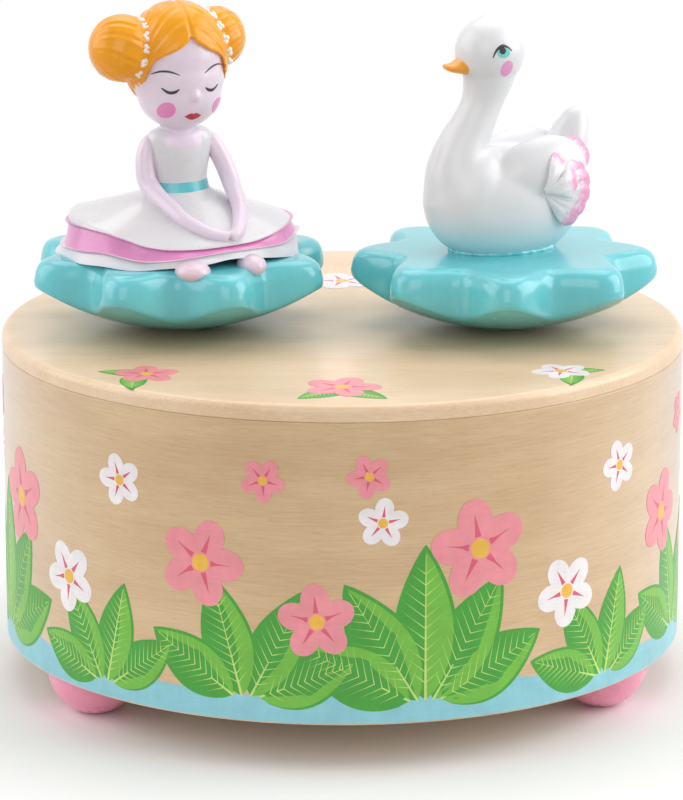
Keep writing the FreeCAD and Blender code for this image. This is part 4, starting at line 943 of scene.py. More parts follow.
# %% Skin and shoes
HEAD_X = -0.4
head_forms = [
    ellipsoid((HEAD_X, 0.0, 34.2), (8.3, 8.5, 8.6)),
    ellipsoid((HEAD_X, -0.5, 31.0), (8.25, 8.1, 7.4)),
    ellipsoid((HEAD_X, -1.3, 28.1), (7.45, 7.0, 6.4)),
    ellipsoid((0.1, -8.2, 28.3), (0.8, 1.1, 1.0)),
    tube([(-0.3, 0, 18.5, 3.6), (-0.3, 0, 20.6, 3.4), (-0.3, 0, 22.2, 3.1), (HEAD_X, 0, 25.0, 3.2)]),
]
RIGHT_ARM = [(-4.0, 0.5, 19.7, 0.9), (-5.2, 0.4, 19.4, 1.25), (-6.0, 0.2, 18.0, 1.6),
             (-6.4, -0.1, 15.4, 1.75), (-6.3, -1.0, 12.4, 1.75), (-5.4, -3.8, 10.3, 1.6),
             (-4.2, -7.4, 8.7, 1.45), (-2.8, -10.8, 7.0, 1.3), (0.3, -14.2, 5.3, 1.15),
             (3.4, -15.2, 4.6, 1.0)]
LEFT_ARM = [(4.0, 0.4, 19.7, 0.9), (5.3, 0.2, 19.4, 1.25), (6.3, -0.3, 18.0, 1.6), (7.5, -2.0, 15.0, 1.7),
            (8.1, -4.6, 11.4, 1.6), (7.9, -8.6, 8.6, 1.45), (6.6, -12.3, 6.5, 1.3),
            (5.1, -14.7, 5.2, 1.15), (3.6, -15.4, 4.6, 1.0)]
toe_forms = [ellipsoid((-4.6, -18.9, 0.0), (3.1, 3.5, 1.8)), ellipsoid((6.5, -18.1, 0.1), (2.5, 3.5, 1.9))]
skin_paint = paint("skin_enamel", linear(234, 218, 233), 0.14, 0.3, 0.35)
toe_paint = paint("shoe_lilac", linear(232, 208, 220), 0.2, 0.3, 0.35)
head = girl_piece("head", cast(head_forms, voxel=0.3, smoothing=14), "skin", skin_paint, "ballerina_head")
arm_mesh = cast([tube(RIGHT_ARM), tube(LEFT_ARM)], voxel=0.25, smoothing=6)
girl_piece("arms", arm_mesh, "skin", skin_paint, "ballerina_arms")
girl_piece("shoe_tips", cast(toe_forms, voxel=0.3, smoothing=4), "shoe_pink", toe_paint, "ballerina_toes")

# %% [markdown]
# ## The form of the hair
# The hair is drawn from a middle parting to a bun on each side. It could be a shell cut open by
# hand, but a cap larger than the head, two balls and a cutter in the shape of the forehead give the
# same form, and the hairline stays a short list of points.

# %% Hair form
CUT_REACH = 40.0
FACE_BACK = 1.2
NAPE_FRONT = 1.1
NAPE_LEVEL = 23.6
CAP_CENTRE = Vector((HEAD_X, 0.0, 33.9))
CAP_RADII = Vector((9.0, 9.25, 10.0))
BUNS = {-1: (Vector((-10.3, 0.2, 36.1)), 5.9), 1: (Vector((7.2, 1.2, 36.8)), 5.4)}
HAIRLINE = [(0.0, 38.7), (1.0, 37.6), (2.6, 36.6), (4.6, 35.7), (6.2, 34.7), (7.0, 32.8), (7.4, 30.2),
            (7.8, 28.0), (8.3, 26.2), (8.9, 24.4), (20.0, 23.5), (20.0, 0.0)]


def beside_face(side, points):
    """Points given outwards from the middle of the face, on one side of it."""
    return [(HEAD_X + side * x, z) for x, z in points]


def block(front, back, foot, head_level):
    """A wide plain block for cutting."""
    corners = ((-CUT_REACH, front), (CUT_REACH, front), (CUT_REACH, back), (-CUT_REACH, back))
    return ring_solid([[(x, y, z) for x, y in corners] for z in (foot, head_level)])


opening = beside_face(1, HAIRLINE) + beside_face(-1, reversed(HAIRLINE[1:]))
face_cutter = ring_solid([[(x, y, z) for x, z in opening] for y in (-CUT_REACH, FACE_BACK)])
nape_cutter = block(NAPE_FRONT, CUT_REACH, 0.0, NAPE_LEVEL)
hair_forms = [ellipsoid(CAP_CENTRE, CAP_RADII), ellipsoid((HEAD_X, 1.0, 31.2), (8.6, 8.4, 6.6))]
hair_forms += [ellipsoid(centre, (radius,) * 3) for centre, radius in BUNS.values()]
hair_mesh = cast(hair_forms, voxel=0.25, smoothing=5, cutters=[face_cutter, nape_cutter])
print("the bare hair has", len(hair_mesh.vertices), "points")

# %% [markdown]
# ## Comb marks
# Fine grooves run through the hair towards the buns. Bump in the material would vanish at the
# outline, so the points themselves move. The strands run like lines of longitude about an axis
# through both buns, so the depth of the grooves is a wave of the angle about that axis, with a
# sharper line for the parting.

# %% Comb marks
BUN_EDGE = 1.04
BUN_INSIDE = -2.2
BUN_SWIRL = 0.5
BUN_DEPTH = 0.11
CAP_BOW = 0.012
CAP_DEPTH = 0.12
PARTING_DEPTH = 0.28
PARTING_WIDTH = 0.35
PARTING_FOOT = 2.0


def comb_wave(angle, coarse, fine, shift):
    """Two waves on top of each other, as the teeth of a comb leave them."""
    return 0.6 * math.sin(coarse * angle) + 0.4 * math.sin(fine * angle + shift)


def strand_depth(point):
    """How deep the comb marks are at a point: they fade at the parting and on the ends of the buns."""
    for side, (centre, radius) in BUNS.items():
        out = point - centre
        if out.length < radius * BUN_EDGE and out.x * side > BUN_INSIDE:
            swirl = math.atan2(out.z, out.y) + BUN_SWIRL * out.x * side / radius
            return BUN_DEPTH * comb_wave(swirl, 16, 27, 1.0) * min(1.0, (radius - abs(out.x)) / 2.0)
    out = point - CAP_CENTRE
    angle = math.atan2(out.z, out.y) - CAP_BOW * out.x * out.x
    parting = PARTING_DEPTH * math.exp(-(out.x / PARTING_WIDTH) ** 2) if out.z > PARTING_FOOT else 0.0
    return CAP_DEPTH * comb_wave(angle, 22, 35, 0.7) * min(1.0, abs(out.x) / 2.5) - parting


normals = [vertex.normal.copy() for vertex in hair_mesh.vertices]
for vertex, normal in zip(hair_mesh.vertices, normals):
    vertex.co += normal * strand_depth(vertex.co)
hair_paint = paint("hair_enamel", linear(246, 162, 8), 0.45, 0.2, 0.25, 0.25)
girl_piece("hair", hair_mesh, "hair_orange", hair_paint, "ballerina_hair")

# %% [markdown]
# ## Garlands
# A string of small white blossoms is dabbed where each bun meets the head. They could be scattered
# by hand, but they follow the ring in which the ball and the cap meet, so a search along the ball
# finds that ring. Each dab is a cluster of four small petals.

# %% Garlands
DABS = 12
FIRST_DAB = -50
DAB_STEP = 25
PETALS = 4
PETAL_OUT = 0.5
SEARCH_STEPS = 200


def meeting_point(side, bearing):
    """Where a bun runs into the cap, at one bearing about the axis through both buns."""
    centre, radius = BUNS[side]
    for step in range(SEARCH_STEPS):
        x = side * (0.5 - step / 100) * radius
        ring = math.sqrt(radius ** 2 - x ** 2)
        spot = centre + Vector((x, ring * math.cos(bearing), ring * math.sin(bearing)))
        inside = spot - CAP_CENTRE
        if sum((inside[i] / CAP_RADII[i]) ** 2 for i in range(3)) < 1.0:
            return spot
    return None


petal_forms = []
for side in BUNS:
    for dab in range(DABS):
        bearing = math.radians(FIRST_DAB + DAB_STEP * dab)
        spot = meeting_point(side, bearing)
        if spot is None:
            continue
        for petal in range(PETALS):
            swing = TURN * petal / PETALS + dab
            drift = PETAL_OUT * Vector((math.cos(swing), -math.sin(bearing) * math.sin(swing),
                                        math.cos(bearing) * math.sin(swing)))
            petal_forms.append(ellipsoid(spot + drift, (0.52, 0.5, 0.5), segments=12, rows=6))
garland_paint = paint("garland_enamel", linear(250, 248, 246), 0.2, 0.35, 0.3)
girl_piece("garland_dabs", solid_mesh(merged(petal_forms)), "garland_white", garland_paint, "hair_garlands")

# %% [markdown]
# ## The face
# The closed eyes, brows, cheeks and lips are a few strokes of a fine brush. They could be modelled
# in relief, but on the figure they are flat paint, so each is a stroke or a coat thrown on to the
# head from the front.

# %% Face
CHEEK_X = 0.3
CHEEK_OUT = 4.9
BROWS = {-1: ((2.3, 32.2), (4.0, 32.8), (5.4, 32.75), (6.6, 32.2)),
         1: ((2.3, 32.3), (3.6, 33.1), (5.0, 33.45), (6.4, 33.1))}
BROW_WIDTHS = (0.16, 0.4, 0.36, 0.12)
LASH = ((2.4, 29.75), (3.1, 29.25), (4.1, 29.15), (5.2, 29.9))
LASH_WIDTHS = (0.22, 0.6, 0.6, 0.24)
LIPS = [(-1.55, 24.75), (-0.8, 25.2), (-0.3, 25.3), (0.0, 25.1), (0.3, 25.3), (0.8, 25.2), (1.55, 24.75),
        (0.9, 24.3), (0.0, 24.0), (-0.9, 24.3)]
on_face = thrown_on(head, ballerina_place, (0, 1, 0))
face_lines = []
cheeks = []
for side, brow in BROWS.items():
    face_lines.append(stroke(beside_face(side, brow), BROW_WIDTHS, on_face))
    face_lines.append(stroke(beside_face(side, LASH), LASH_WIDTHS, on_face))
    cheeks.append(coat(ellipse(CHEEK_X + side * CHEEK_OUT, 25.9, 1.35, 1.5), on_face))
line_paint = paint("eye_line", linear(40, 33, 43), 0.3, 0.35, 0.2)
cheek_paint = paint("cheek_pink", linear(232, 138, 194), 0.35, 0.35, 0.25)
lip_paint = paint("lip_red", linear(192, 30, 48), 0.3, 0.3, 0.3)
girl_coat("brows_and_lashes", solid_mesh(merged(face_lines)), "hair_orange", line_paint)
girl_coat("cheeks", solid_mesh(merged(cheeks)), "skin", cheek_paint)
girl_coat("lips", solid_mesh(coat(LIPS, on_face, lift=0.09)), "skin", lip_paint)

# %% [markdown]
# ## Neckline and belt
# The bodice has a square neckline, with skin inside it, and a turquoise belt that shows between the
# arms. Cutting the dress open would need a body below it, so both are coats on the bodice.

# %% Neckline and belt
NECKLINE = [(-3.6, 21.2), (-3.6, 20.4), (-3.5, 19.4), (-3.4, 18.75), (-1.9, 18.6), (-0.3, 18.55), (1.3, 18.6),
            (2.8, 18.75), (2.9, 19.4), (3.0, 20.4), (3.0, 21.2), (-0.3, 21.5)]
BELT = [(-4.7, 11.5), (-2.4, 11.5), (0.0, 11.55), (2.4, 11.6), (4.7, 11.7)]
BELT_WIDTHS = (1.7, 1.75, 1.8, 1.75, 1.7)
neck_coat = coat(NECKLINE, on_gown, lift=0.05, sink=0.15, rows=8)
belt_stroke = stroke(BELT, BELT_WIDTHS, on_gown, lift=0.12, sink=0.2)
belt_paint = paint("belt_enamel", linear(95, 192, 200), 0.35, 0.3, 0.35)
girl_coat("neckline_skin", solid_mesh(neck_coat), "skin", skin_paint)
girl_coat("belt", solid_mesh(belt_stroke), "belt_turquoise", belt_paint, "ballerina_belt")

# %% [markdown]
# ## The swan's body
# The body is one casting: a plump hull, folded wings, and a neck that rises from the breast in one
# curve into a round head. Melted balls and a tube suit it, as they do the girl's head. The paint
# fades to turquoise where the swan sits in the water of its base, so its material mixes two colours
# by height, with a wavering edge.

# %% Swan body
FADE_START = -0.5
FADE_END = 8.5
FADE_WAVER = 0.003
CUT_DEPTH = -20.0
wing_tilt = Matrix.Rotation(math.radians(15), 3, "X")
swan_forms = [
    ellipsoid((0, -0.3, 7.9), (9.6, 14.3, 10.3)),
    ellipsoid((0, -6.5, 9.4), (8.3, 8.6, 9.9)),
    *(ellipsoid((x, 4.3, 13.7), (4.7, 9.4, 6.5), wing_tilt) for x in (4.6, -4.6)),
    tube([(0, -8.2, 10.0, 7.2), (0, -9.0, 14.5, 5.9), (0, -8.4, 18.4, 4.7), (0, -6.5, 22.2, 3.9),
          (0, -4.9, 25.6, 3.6), (0, -4.0, 28.4, 4.0), (0, -3.4, 30.8, 4.6), (0, -3.2, 33.5, 5.0)]),
    ellipsoid((0, -3.2, 35.1), (5.85, 6.2, 6.15)),
    ellipsoid((0, -4.0, 41.0), (0.85, 1.0, 0.8)),
]


def water_tint(tree, colour):
    """Turquoise that climbs the lower part of the body."""
    point = object_point(tree)
    noise = noise_node(tree, point, 220.0, 3.0)
    waver = math_node(tree, "MULTIPLY_ADD", noise, FADE_WAVER, split(tree, point)["Z"])
    fade = spread(tree, waver, (STAR_TOP + FADE_START) * MM, (STAR_TOP + FADE_END) * MM, 0.42, 0.0)
    return mixed(tree, fade, colour, linear(150, 214, 222))


swan_paint = paint("swan_enamel", linear(228, 228, 230), 0.12, 0.34, 0.4, coat_blur=0.25, over=water_tint)
floor_cutter = block(-CUT_REACH, CUT_REACH, CUT_DEPTH, 0.0)
swan_mesh = cast(swan_forms, voxel=0.35, smoothing=18, cutters=[floor_cutter])
swan = swan_piece("swan_form", swan_mesh, "swan_white", swan_paint, "swan_body")

# %% [markdown]
# ## Bill and tail
# The bill is short and flat, and its root wraps round the face, so the corners of each ring are
# swept back. A cone would meet the head in a straight line instead. The tail is one thick upturned
# tuft, cast like the body.

# %% Bill and tail
BILL_SEGMENTS = 32
CORNER_POWER = 2.5
# Each row: y, z, half width, half height, and how far the corners of the mouth are swept back.
BILL = ((-6.8, 33.2, 3.1, 1.8, 3.2), (-8.3, 33.15, 2.95, 1.7, 2.8), (-9.6, 32.95, 2.3, 1.2, 1.2),
        (-10.5, 32.8, 1.9, 0.85, 0.3), (-11.3, 32.9, 1.5, 0.62, 0.0), (-11.9, 33.05, 0.8, 0.4, 0.0))
TAIL = [(0, 10.4, 13.5, 4.6), (0, 11.9, 17.2, 4.4), (0, 13.1, 20.2, 3.6), (0, 13.9, 22.2, 2.7),
        (0, 14.4, 23.4, 1.8), (0, 14.6, 24.1, 0.9)]


def bill_ring(y, z, half_width, half_height, sweep):
    """One ring across the bill."""
    def spot(angle):
        back = sweep * abs(math.cos(angle)) ** CORNER_POWER
        return (half_width * math.cos(angle), y + back, z + half_height * math.sin(angle))
    return ring_of(BILL_SEGMENTS, spot)


bill_paint = paint("bill_enamel", linear(250, 166, 30), 0.4, 0.28, 0.35)
swan_piece("bill", rounded([bill_ring(*row) for row in BILL]), "beak_orange", bill_paint, "swan_beak")
tail_mesh = cast([tube(TAIL, flatten=0.85)], voxel=0.3, smoothing=6)
swan_piece("tail", tail_mesh, "feather_white", swan_paint, "swan_tail")

# %% [markdown]
# ## Feathers
# A fan of feathers stands off each flank, and each is a thin drop with a groove along its middle.
# One carved block would do from afar, but single feathers overlap as the real casting does. Their
# tips are brushed with pink: a map along each feather's length tells the material where its tip is.

# %% Feathers
FEATHER_POINTS = 28
FEATHER_STATIONS = 16
FEATHER_THICKNESS = 0.55
GROOVE_DEPTH = 0.3
RISE_LEAN = 0.35
TAIL_LEAN = 0.12
FEATHER_START = 0.02
FEATHER_SPAN = 0.965
ROOT_WIDTH = 0.2
FULL_WIDTH_AT = 0.7
TIP_FROM = 0.72
TIP_LEAST = 0.004
EDGE_LEAST = 0.05


def pink_tips(tree, colour):
    """Pink with a ragged edge, towards a feather's tip."""
    along = split(tree, tree.nodes.new("ShaderNodeTexCoord").outputs["UV"])["Y"]
    ragged = math_node(tree, "MULTIPLY_ADD", noise_node(tree, object_point(tree), 900.0, 3.0), 0.5, along)
    return mixed(tree, spread(tree, ragged, 0.86, 1.10, 0.0, 0.8), colour, linear(240, 130, 185))


def feather(root, tilt, length, width, side):
    """A feather in the plane of the flank, bowed outwards, and the map along it."""
    lean = RISE_LEAN * max(math.sin(tilt), 0.0) + TAIL_LEAN * math.cos(tilt)
    rings = []
    marks = []
    for station in range(FEATHER_STATIONS + 1):
        t = FEATHER_START + FEATHER_SPAN * station / FEATHER_STATIONS
        y = t * length
        grown = min(t / FULL_WIDTH_AT, 1.0)
        half = width / 2 * (ROOT_WIDTH + (1 - ROOT_WIDTH) * grown ** 2 * (3 - 2 * grown))
        half *= math.sqrt(max(1.0 - (max(t - TIP_FROM, 0.0) / (1 - TIP_FROM)) ** 2, TIP_LEAST))
        thick = FEATHER_THICKNESS * math.sqrt(max(1.0 - (2 * t - 1) ** 4, EDGE_LEAST))
        bow = math.sin(math.pi * t) + 0.4 * t - y * lean

        def spot(angle):
            w = half * math.cos(angle)
            groove = GROOVE_DEPTH * abs(math.cos(3 * math.pi * w / width)) if math.sin(angle) > 0 else 0.0
            out = thick * (math.sin(angle) - groove) + bow
            return root + Vector((side * out, y * math.cos(tilt) - w * math.sin(tilt),
                                  y * math.sin(tilt) + w * math.cos(tilt)))
        outwards = -1 if side > 0 else 1
        rings.append(ring_of(FEATHER_POINTS, spot)[::outwards])
        marks += ring_of(FEATHER_POINTS, lambda angle: (0.5 + half * math.cos(angle) / width, t))[::outwards]
    return ring_solid(rings), marks + [(0.5, 0.0), (0.5, 1.0)]


feather_paint = paint("feather_pink_tips", linear(230, 228, 231), 0.15, 0.3, 0.35, coat_blur=0.15,
                      over=pink_tips)
print("a feather has", len(feather(Vector(), 0.0, 9.0, 4.0, 1)[1]), "points")

# %% [markdown]
# ## The fans
# Most feathers of a fan spread from one root, and a tuft stands behind them. Each stands off by its
# own amount, so that the next one lies over it. Mirroring the finished fan would copy the map too,
# but the right fan sits a little lower, so both are made from the same list.

# %% Fans
FAN_ROOT = (8.6, 2.9, 11.5)
MIDDLE_ROOT = (6.8, 5.8, 13.6)
TUFT_ROOT = (5.5, 7.7, 15.1)
# Each row: a root, degrees above level, length, width, and how far it stands off.
FEATHERS = ((FAN_ROOT, -41, 9.2, 4.4, 0.0), (FAN_ROOT, -25, 9.6, 4.6, 0.15), (FAN_ROOT, -9, 9.8, 4.8, 0.3),
            (FAN_ROOT, 7, 9.9, 4.8, 0.45), (FAN_ROOT, 23, 9.6, 4.6, 0.6), (FAN_ROOT, 41, 8.8, 4.2, 0.8),
            (FAN_ROOT, 56, 8.0, 3.8, 1.15), (FAN_ROOT, 12, 7.4, 5.0, 1.1), (MIDDLE_ROOT, 34, 6.8, 4.2, 1.0),
            (TUFT_ROOT, 16, 6.4, 3.8, 0.7), (TUFT_ROOT, 34, 6.4, 3.8, 0.6), (TUFT_ROOT, 50, 6.0, 3.4, 0.5))
for side, drop, flank in ((1, 0.0, "left"), (-1, 1.0, "right")):
    solids = []
    marks = []
    for (x, y, z), degrees, length, width, off in FEATHERS:
        root = Vector((side * (x + off), y, z - drop))
        solid, solid_marks = feather(root, math.radians(degrees), length, width, side)
        solids.append(solid)
        marks += solid_marks
    fan = solid_mesh(merged(solids))
    length_map = fan.uv_layers.new(name="along_feather")
    for loop in fan.loops:
        length_map.data[loop.index].uv = marks[loop.vertex_index]
    swan_piece("feathers_" + flank, fan, "feather_white", feather_paint, "swan_wing_" + flank)

# %% [markdown]
# ## The waterline
# A bead of glossy turquoise lacquer runs round the swan where it is glued to its base. A plain
# torus would look like a gasket, so the bead is a hoop of small rings round an oval, and a few
# waves of the angle make it thick and thin, as lacquer that set while it ran.

# %% Waterline bead
BEAD_RINGS = 160
BEAD_SEGMENTS = 12
BEAD_THICKNESS = 0.6
BEAD_WIDTH = 6.3
BEAD_LENGTH = 9.4
BEAD_Y = -0.3
BEAD_LEVEL = 0.2


def bead_ring(angle):
    """One ring across the bead."""
    thickness = BEAD_THICKNESS + 0.14 * math.sin(9 * angle + 0.4) + 0.12 * math.sin(23 * angle + 1.3)
    out = Vector((math.cos(angle), math.sin(angle), 0))
    centre = Vector((BEAD_WIDTH * out.x, BEAD_Y + BEAD_LENGTH * out.y, BEAD_LEVEL))
    return ring_of(BEAD_SEGMENTS,
                   lambda turn: centre + thickness * (out * math.cos(turn) + Vector((0, 0, math.sin(turn)))))


water_paint = paint("water_lacquer", linear(92, 198, 204), 0.3, 0.14, 0.8)
bead = ring_loop(ring_of(BEAD_RINGS, bead_ring))
swan_piece("waterline_bead", solid_mesh(bead), "turquoise_resin", water_paint)

# %% [markdown]
# ## The swan's eyes
# Each side of the head has a dark lash, a turquoise iris with a dark pupil, and a pink cheek. They
# are flat paint like the girl's face, so they are made in the same way, thrown on from the side.

# %% Swan eyes
SWAN_LASH = ((-5.3, 35.0), (-4.6, 36.3), (-3.5, 36.95), (-2.5, 36.7), (-1.7, 36.0))
SWAN_LASH_WIDTHS = (0.16, 0.45, 0.6, 0.4, 0.14)
lashes = []
irises = []
pupils = []
swan_cheeks = []
for side in (-1, 1):
    on_head = thrown_on(swan, swan_place, (-side, 0, 0))

    def flank(points):
        return [(side * y, z) for y, z in points]
    lashes.append(stroke(flank(SWAN_LASH), SWAN_LASH_WIDTHS, on_head, lift=0.1))
    irises.append(coat(flank(ellipse(-3.3, 35.75, 1.2, 0.85)), on_head, lift=0.05))
    pupils.append(coat(flank(ellipse(-3.55, 36.15, 0.6, 0.6)), on_head, lift=0.08))
    swan_cheeks.append(coat(flank(ellipse(-2.5, 32.9, 1.15, 1.45, -14)), on_head, lift=0.05))
iris_paint = paint("iris_turquoise", linear(110, 212, 208), 0.3, 0.3, 0.4)
swan_cheek_paint = paint("swan_cheek_pink", linear(236, 158, 206), 0.35, 0.35, 0.25)
swan_coat("swan_lashes", solid_mesh(merged(lashes + pupils)), "swan_white", line_paint)
swan_coat("swan_irises", solid_mesh(merged(irises)), "swan_white", iris_paint)
swan_coat("swan_cheeks", solid_mesh(merged(swan_cheeks)), "swan_white", swan_cheek_paint)

# %% [markdown]
# ## Inks
# The wood is printed, and its grain shows through the ink. The print could be a pattern in the
# wood's own material, but shapes as crisp as these need many nodes. So each shape is a thin coat on
# the unrolled wall or on the top, in one of eight inks, and every ink multiplies its colour by the
# grain.

# %% Inks
INK_BUMP = 0.15
INK_SINK = 0.03
HAIR = 0.0006
HAIR_STEPS = 13
# Each ink: its colour, and how high its coat lies.
INKS = {
    "water": ((142, 205, 218), 0.02),
    "leaf": ((62, 160, 46), 0.035),
    "light_leaf": ((112, 188, 58), 0.05),
    "rib": ((196, 226, 120), 0.06),
    "pink": ((243, 150, 160), 0.07),
    "rose": ((224, 92, 118), 0.08),
    "white": ((246, 240, 243), 0.07),
    "gold": ((244, 190, 70), 0.09),
}


def show_grain(tree, colour):
    """The wood's grain, multiplied into the ink."""
    pale = {"Light": (1.0, 1.0, 1.0), "Dark": (0.80, 0.78, 0.72)}
    grain = place_group(tree, wood_grain, Vector=wall_vector(tree), **pale)
    return mixed(tree, 0.6, colour, grain.outputs["Colour"], "MULTIPLY")


def on_wall(point, height):
    """A point of the unrolled wall, bent round the drum."""
    angle = point[0] / DRUM_RADIUS
    radius = DRUM_RADIUS + height
    return Vector((radius * math.sin(angle), -radius * math.cos(angle), point[1]))


def on_top(point, height):
    """A flat point on the top."""
    return Vector((point[0], point[1], TOP_LEVEL + height))


SURFACES = {"wall": on_wall, "top": on_top}
prints = {surface: {name: [] for name in INKS} for surface in SURFACES}


def lay(surface, name, outline, rows=4):
    """Lays one shape in an ink, a hair higher than the shape before, so that no two faces share a plane."""
    shapes = prints[surface][name]
    lift = INKS[name][1] + HAIR * (len(shapes) % HAIR_STEPS)
    shapes.append(coat(outline, SURFACES[surface], lift, INK_SINK, rows))


inks = {name: paint("ink_" + name, linear(*colour), 0.55, 0.38, 0.2, coat_blur=0.25, bump=INK_BUMP,
                    over=show_grain)
        for name, (colour, _) in INKS.items()}
print("inks:", ", ".join(inks))

# %% [markdown]
# ## Motifs
# The garden has two motifs. A leaf is a pointed oval with a lighter half, a rib and veins, and
# leaves fan out into a bush. A blossom has five round petals, each with a rose streak, round a gold
# heart. Drawn curves would serve, but a formula gives every leaf its own size from the same few
# lines.

# %% Motifs
LEAF_STEPS = 18
LEAF_POWER = 0.85
VEINS = 11
VEIN_HALF = 0.11
BLOSSOM_PETALS = 5
BUSH_SPREAD = 62


def leaf_side(length, width):
    """The right edge of a leaf that grows up from its stalk."""
    edge = []
    for step in range(LEAF_STEPS + 1):
        t = step / LEAF_STEPS
        edge.append((width / 2 * math.sin(math.pi * t ** LEAF_POWER) ** LEAF_POWER, length * t))
    return edge


def leaf(surface, x, z, length, width, degrees):
    """A leaf with its lighter half, rib and veins."""
    def lay_turned(ink, points, rows):
        lay(surface, ink, turned_points(points, x, z, degrees), rows)
    right = leaf_side(length, width)
    lay_turned("leaf", right + [(-u, w) for u, w in reversed(right[1:-1])], 6)
    lay_turned("light_leaf", leaf_side(length * 0.96, width * 0.9), 4)
    lay_turned("rib", [(-0.22, 0.0), (0.22, 0.0), (0.06, length * 0.93), (-0.06, length * 0.93)], 2)
    for number in range(1, VEINS + 1):
        start = length * (0.04 + 0.07 * number)
        reach = width * 0.4 * math.sin(math.pi * (0.12 + 0.07 * number)) ** 0.8
        for side in (-1, 1):
            tip = (side * reach, start + reach * 0.8)
            lay_turned("rib", [(0.0, start - VEIN_HALF), tip, (0.0, start + VEIN_HALF)], 2)


def blossom(surface, x, z, size, ink, degrees):
    """Round petals with a rose streak each, round a gold heart."""
    for petal in range(BLOSSOM_PETALS):
        turn = degrees + 360 / BLOSSOM_PETALS * petal
        shape = ellipse(0, size * 0.29, size * 0.185, size * 0.22)
        lay(surface, ink, turned_points(shape, x, z, turn))
        streak = [(-0.035 * size, size * 0.12), (0.035 * size, size * 0.12), (0.0, size * 0.36)]
        lay(surface, "rose", turned_points(streak, x, z, turn), 2)
    lay(surface, "gold", ellipse(x, z, size * 0.1, size * 0.1))


def bush(x, z, size, count, lean):
    """Leaves that fan out from one root on the wall."""
    for number in range(count):
        share = number / (count - 1) * 2 - 1
        length = size * (1.0 - 0.22 * abs(share))
        leaf("wall", x + share * size * 0.10, z, length, size * 0.40, lean - share * BUSH_SPREAD)


print("one edge of a leaf has", len(leaf_side(20.0, 8.0)), "points")

# %% [markdown]
# ## The frieze
# One stretch of garden repeats four times round the drum, above a band of water with a wavy edge.
# Every place in it could be drawn apart, but a repeat is how such bands are printed, and one list
# of motifs then serves the whole wall. The band is a thin hoop, so that it has no join.

# %% The frieze
REPEATS = 4
STRETCH = TURN * DRUM_RADIUS / REPEATS
FIRST_STRETCH = 8.0
WATER_SEGMENTS = 360
WATER_FOOT = FOOT_HEIGHT + 0.27
WATER_MIDDLE = 14.2
# Each bush: the way along the stretch, height, size, number of leaves, and lean in degrees.
BUSHES = ((6.0, 12.0, 27.0, 5, 0.0), (42.0, 11.0, 20.0, 4, 8.0), (70.0, 12.5, 23.0, 4, -6.0))
# Each blossom: the way along the stretch, height, size, ink, and turn in degrees.
BLOSSOMS = ((15.5, 37.5, 17.0, "pink", 10.0), (33.0, 27.5, 12.5, "white", 30.0),
            (62.0, 35.0, 15.0, "pink", 52.0), (82.0, 26.0, 13.0, "pink", 5.0),
            (46.0, 47.0, 9.0, "white", 18.0), (73.0, 50.0, 7.5, "pink", 40.0),
            (93.0, 43.0, 8.5, "white", 66.0), (-3.5, 51.0, 7.5, "pink", 25.0))


def water_level(way):
    """The water's edge, by the way round the drum."""
    phase = TURN * way / STRETCH
    return WATER_MIDDLE + 1.9 * math.sin(phase + 0.7) + 0.9 * math.sin(2 * phase)


def water_ring(height, level):
    """A ring round the drum, at a height off the wall."""
    def spot(angle):
        way = angle * DRUM_RADIUS
        return on_wall((way, level(way)), height)
    return ring_of(WATER_SEGMENTS, spot)


for repeat in range(REPEATS):
    start = repeat * STRETCH + FIRST_STRETCH
    for way, *rest in BUSHES:
        bush(start + way, *rest)
    for way, *rest in BLOSSOMS:
        blossom("wall", start + way, *rest)
water_corners = ((-INK_SINK, steady(WATER_FOOT)), (INKS["water"][1], steady(WATER_FOOT)),
                 (INKS["water"][1], water_level), (-INK_SINK, water_level))
prints["wall"]["water"].append(ring_loop([water_ring(*corner) for corner in water_corners]))
print("shapes on the wall:", sum(len(shapes) for shapes in prints["wall"].values()))

# %% [markdown]
# ## Sprays on the top
# A few blossoms with two leaves each lie on the top, round the figures. They use the same motifs as
# the wall. All shapes in one ink are then merged into one piece for the wall and one for the top,
# because a piece for every petal would fill the scene with hundreds of objects.

# %% Sprays on the top
LEAF_APART = 2.0
# Each spray: its place on the top, size, ink, and heading in degrees.
SPRAYS = ((0.0, -47.0, 13.0, "pink", -90), (37.0, -36.0, 10.0, "white", -45),
          (-33.0, -38.0, 11.0, "pink", -140), (0.0, 33.0, 13.0, "white", 90),
          (34.0, 40.0, 11.0, "pink", 40), (-36.0, 38.0, 11.0, "pink", 140))
for x, y, size, ink, heading in SPRAYS:
    for apart, turn in ((-LEAF_APART, -40), (LEAF_APART, -140)):
        leaf("top", x + apart, y, size * 0.95, size * 0.42, heading + turn)
    blossom("top", x, y, size, ink, heading)
for surface, layers in prints.items():
    for name, shapes in layers.items():
        if shapes:
            case_piece(f"{surface}_print_{name}", solid_mesh(merged(shapes)), "maple", inks[name])

# %% [markdown]
# ## The movement
# Spring motor, comb and governor are hidden in the drum. Their CAD solids have the right shape
# already, so they stay, and only get a finish: brass for wheels, cylinder and bearings, steel for
# shafts, screws, spring and comb, dull plating for the bed and the spring's case, nickel for key
# and magnets, nylon for the arm and its bush. The base plate below them is plain wood. Brushed
# metal is one more group, with fine lines one way and a cloudy tarnish.

# %% Movement finishes
METAL_BUMP = 0.2


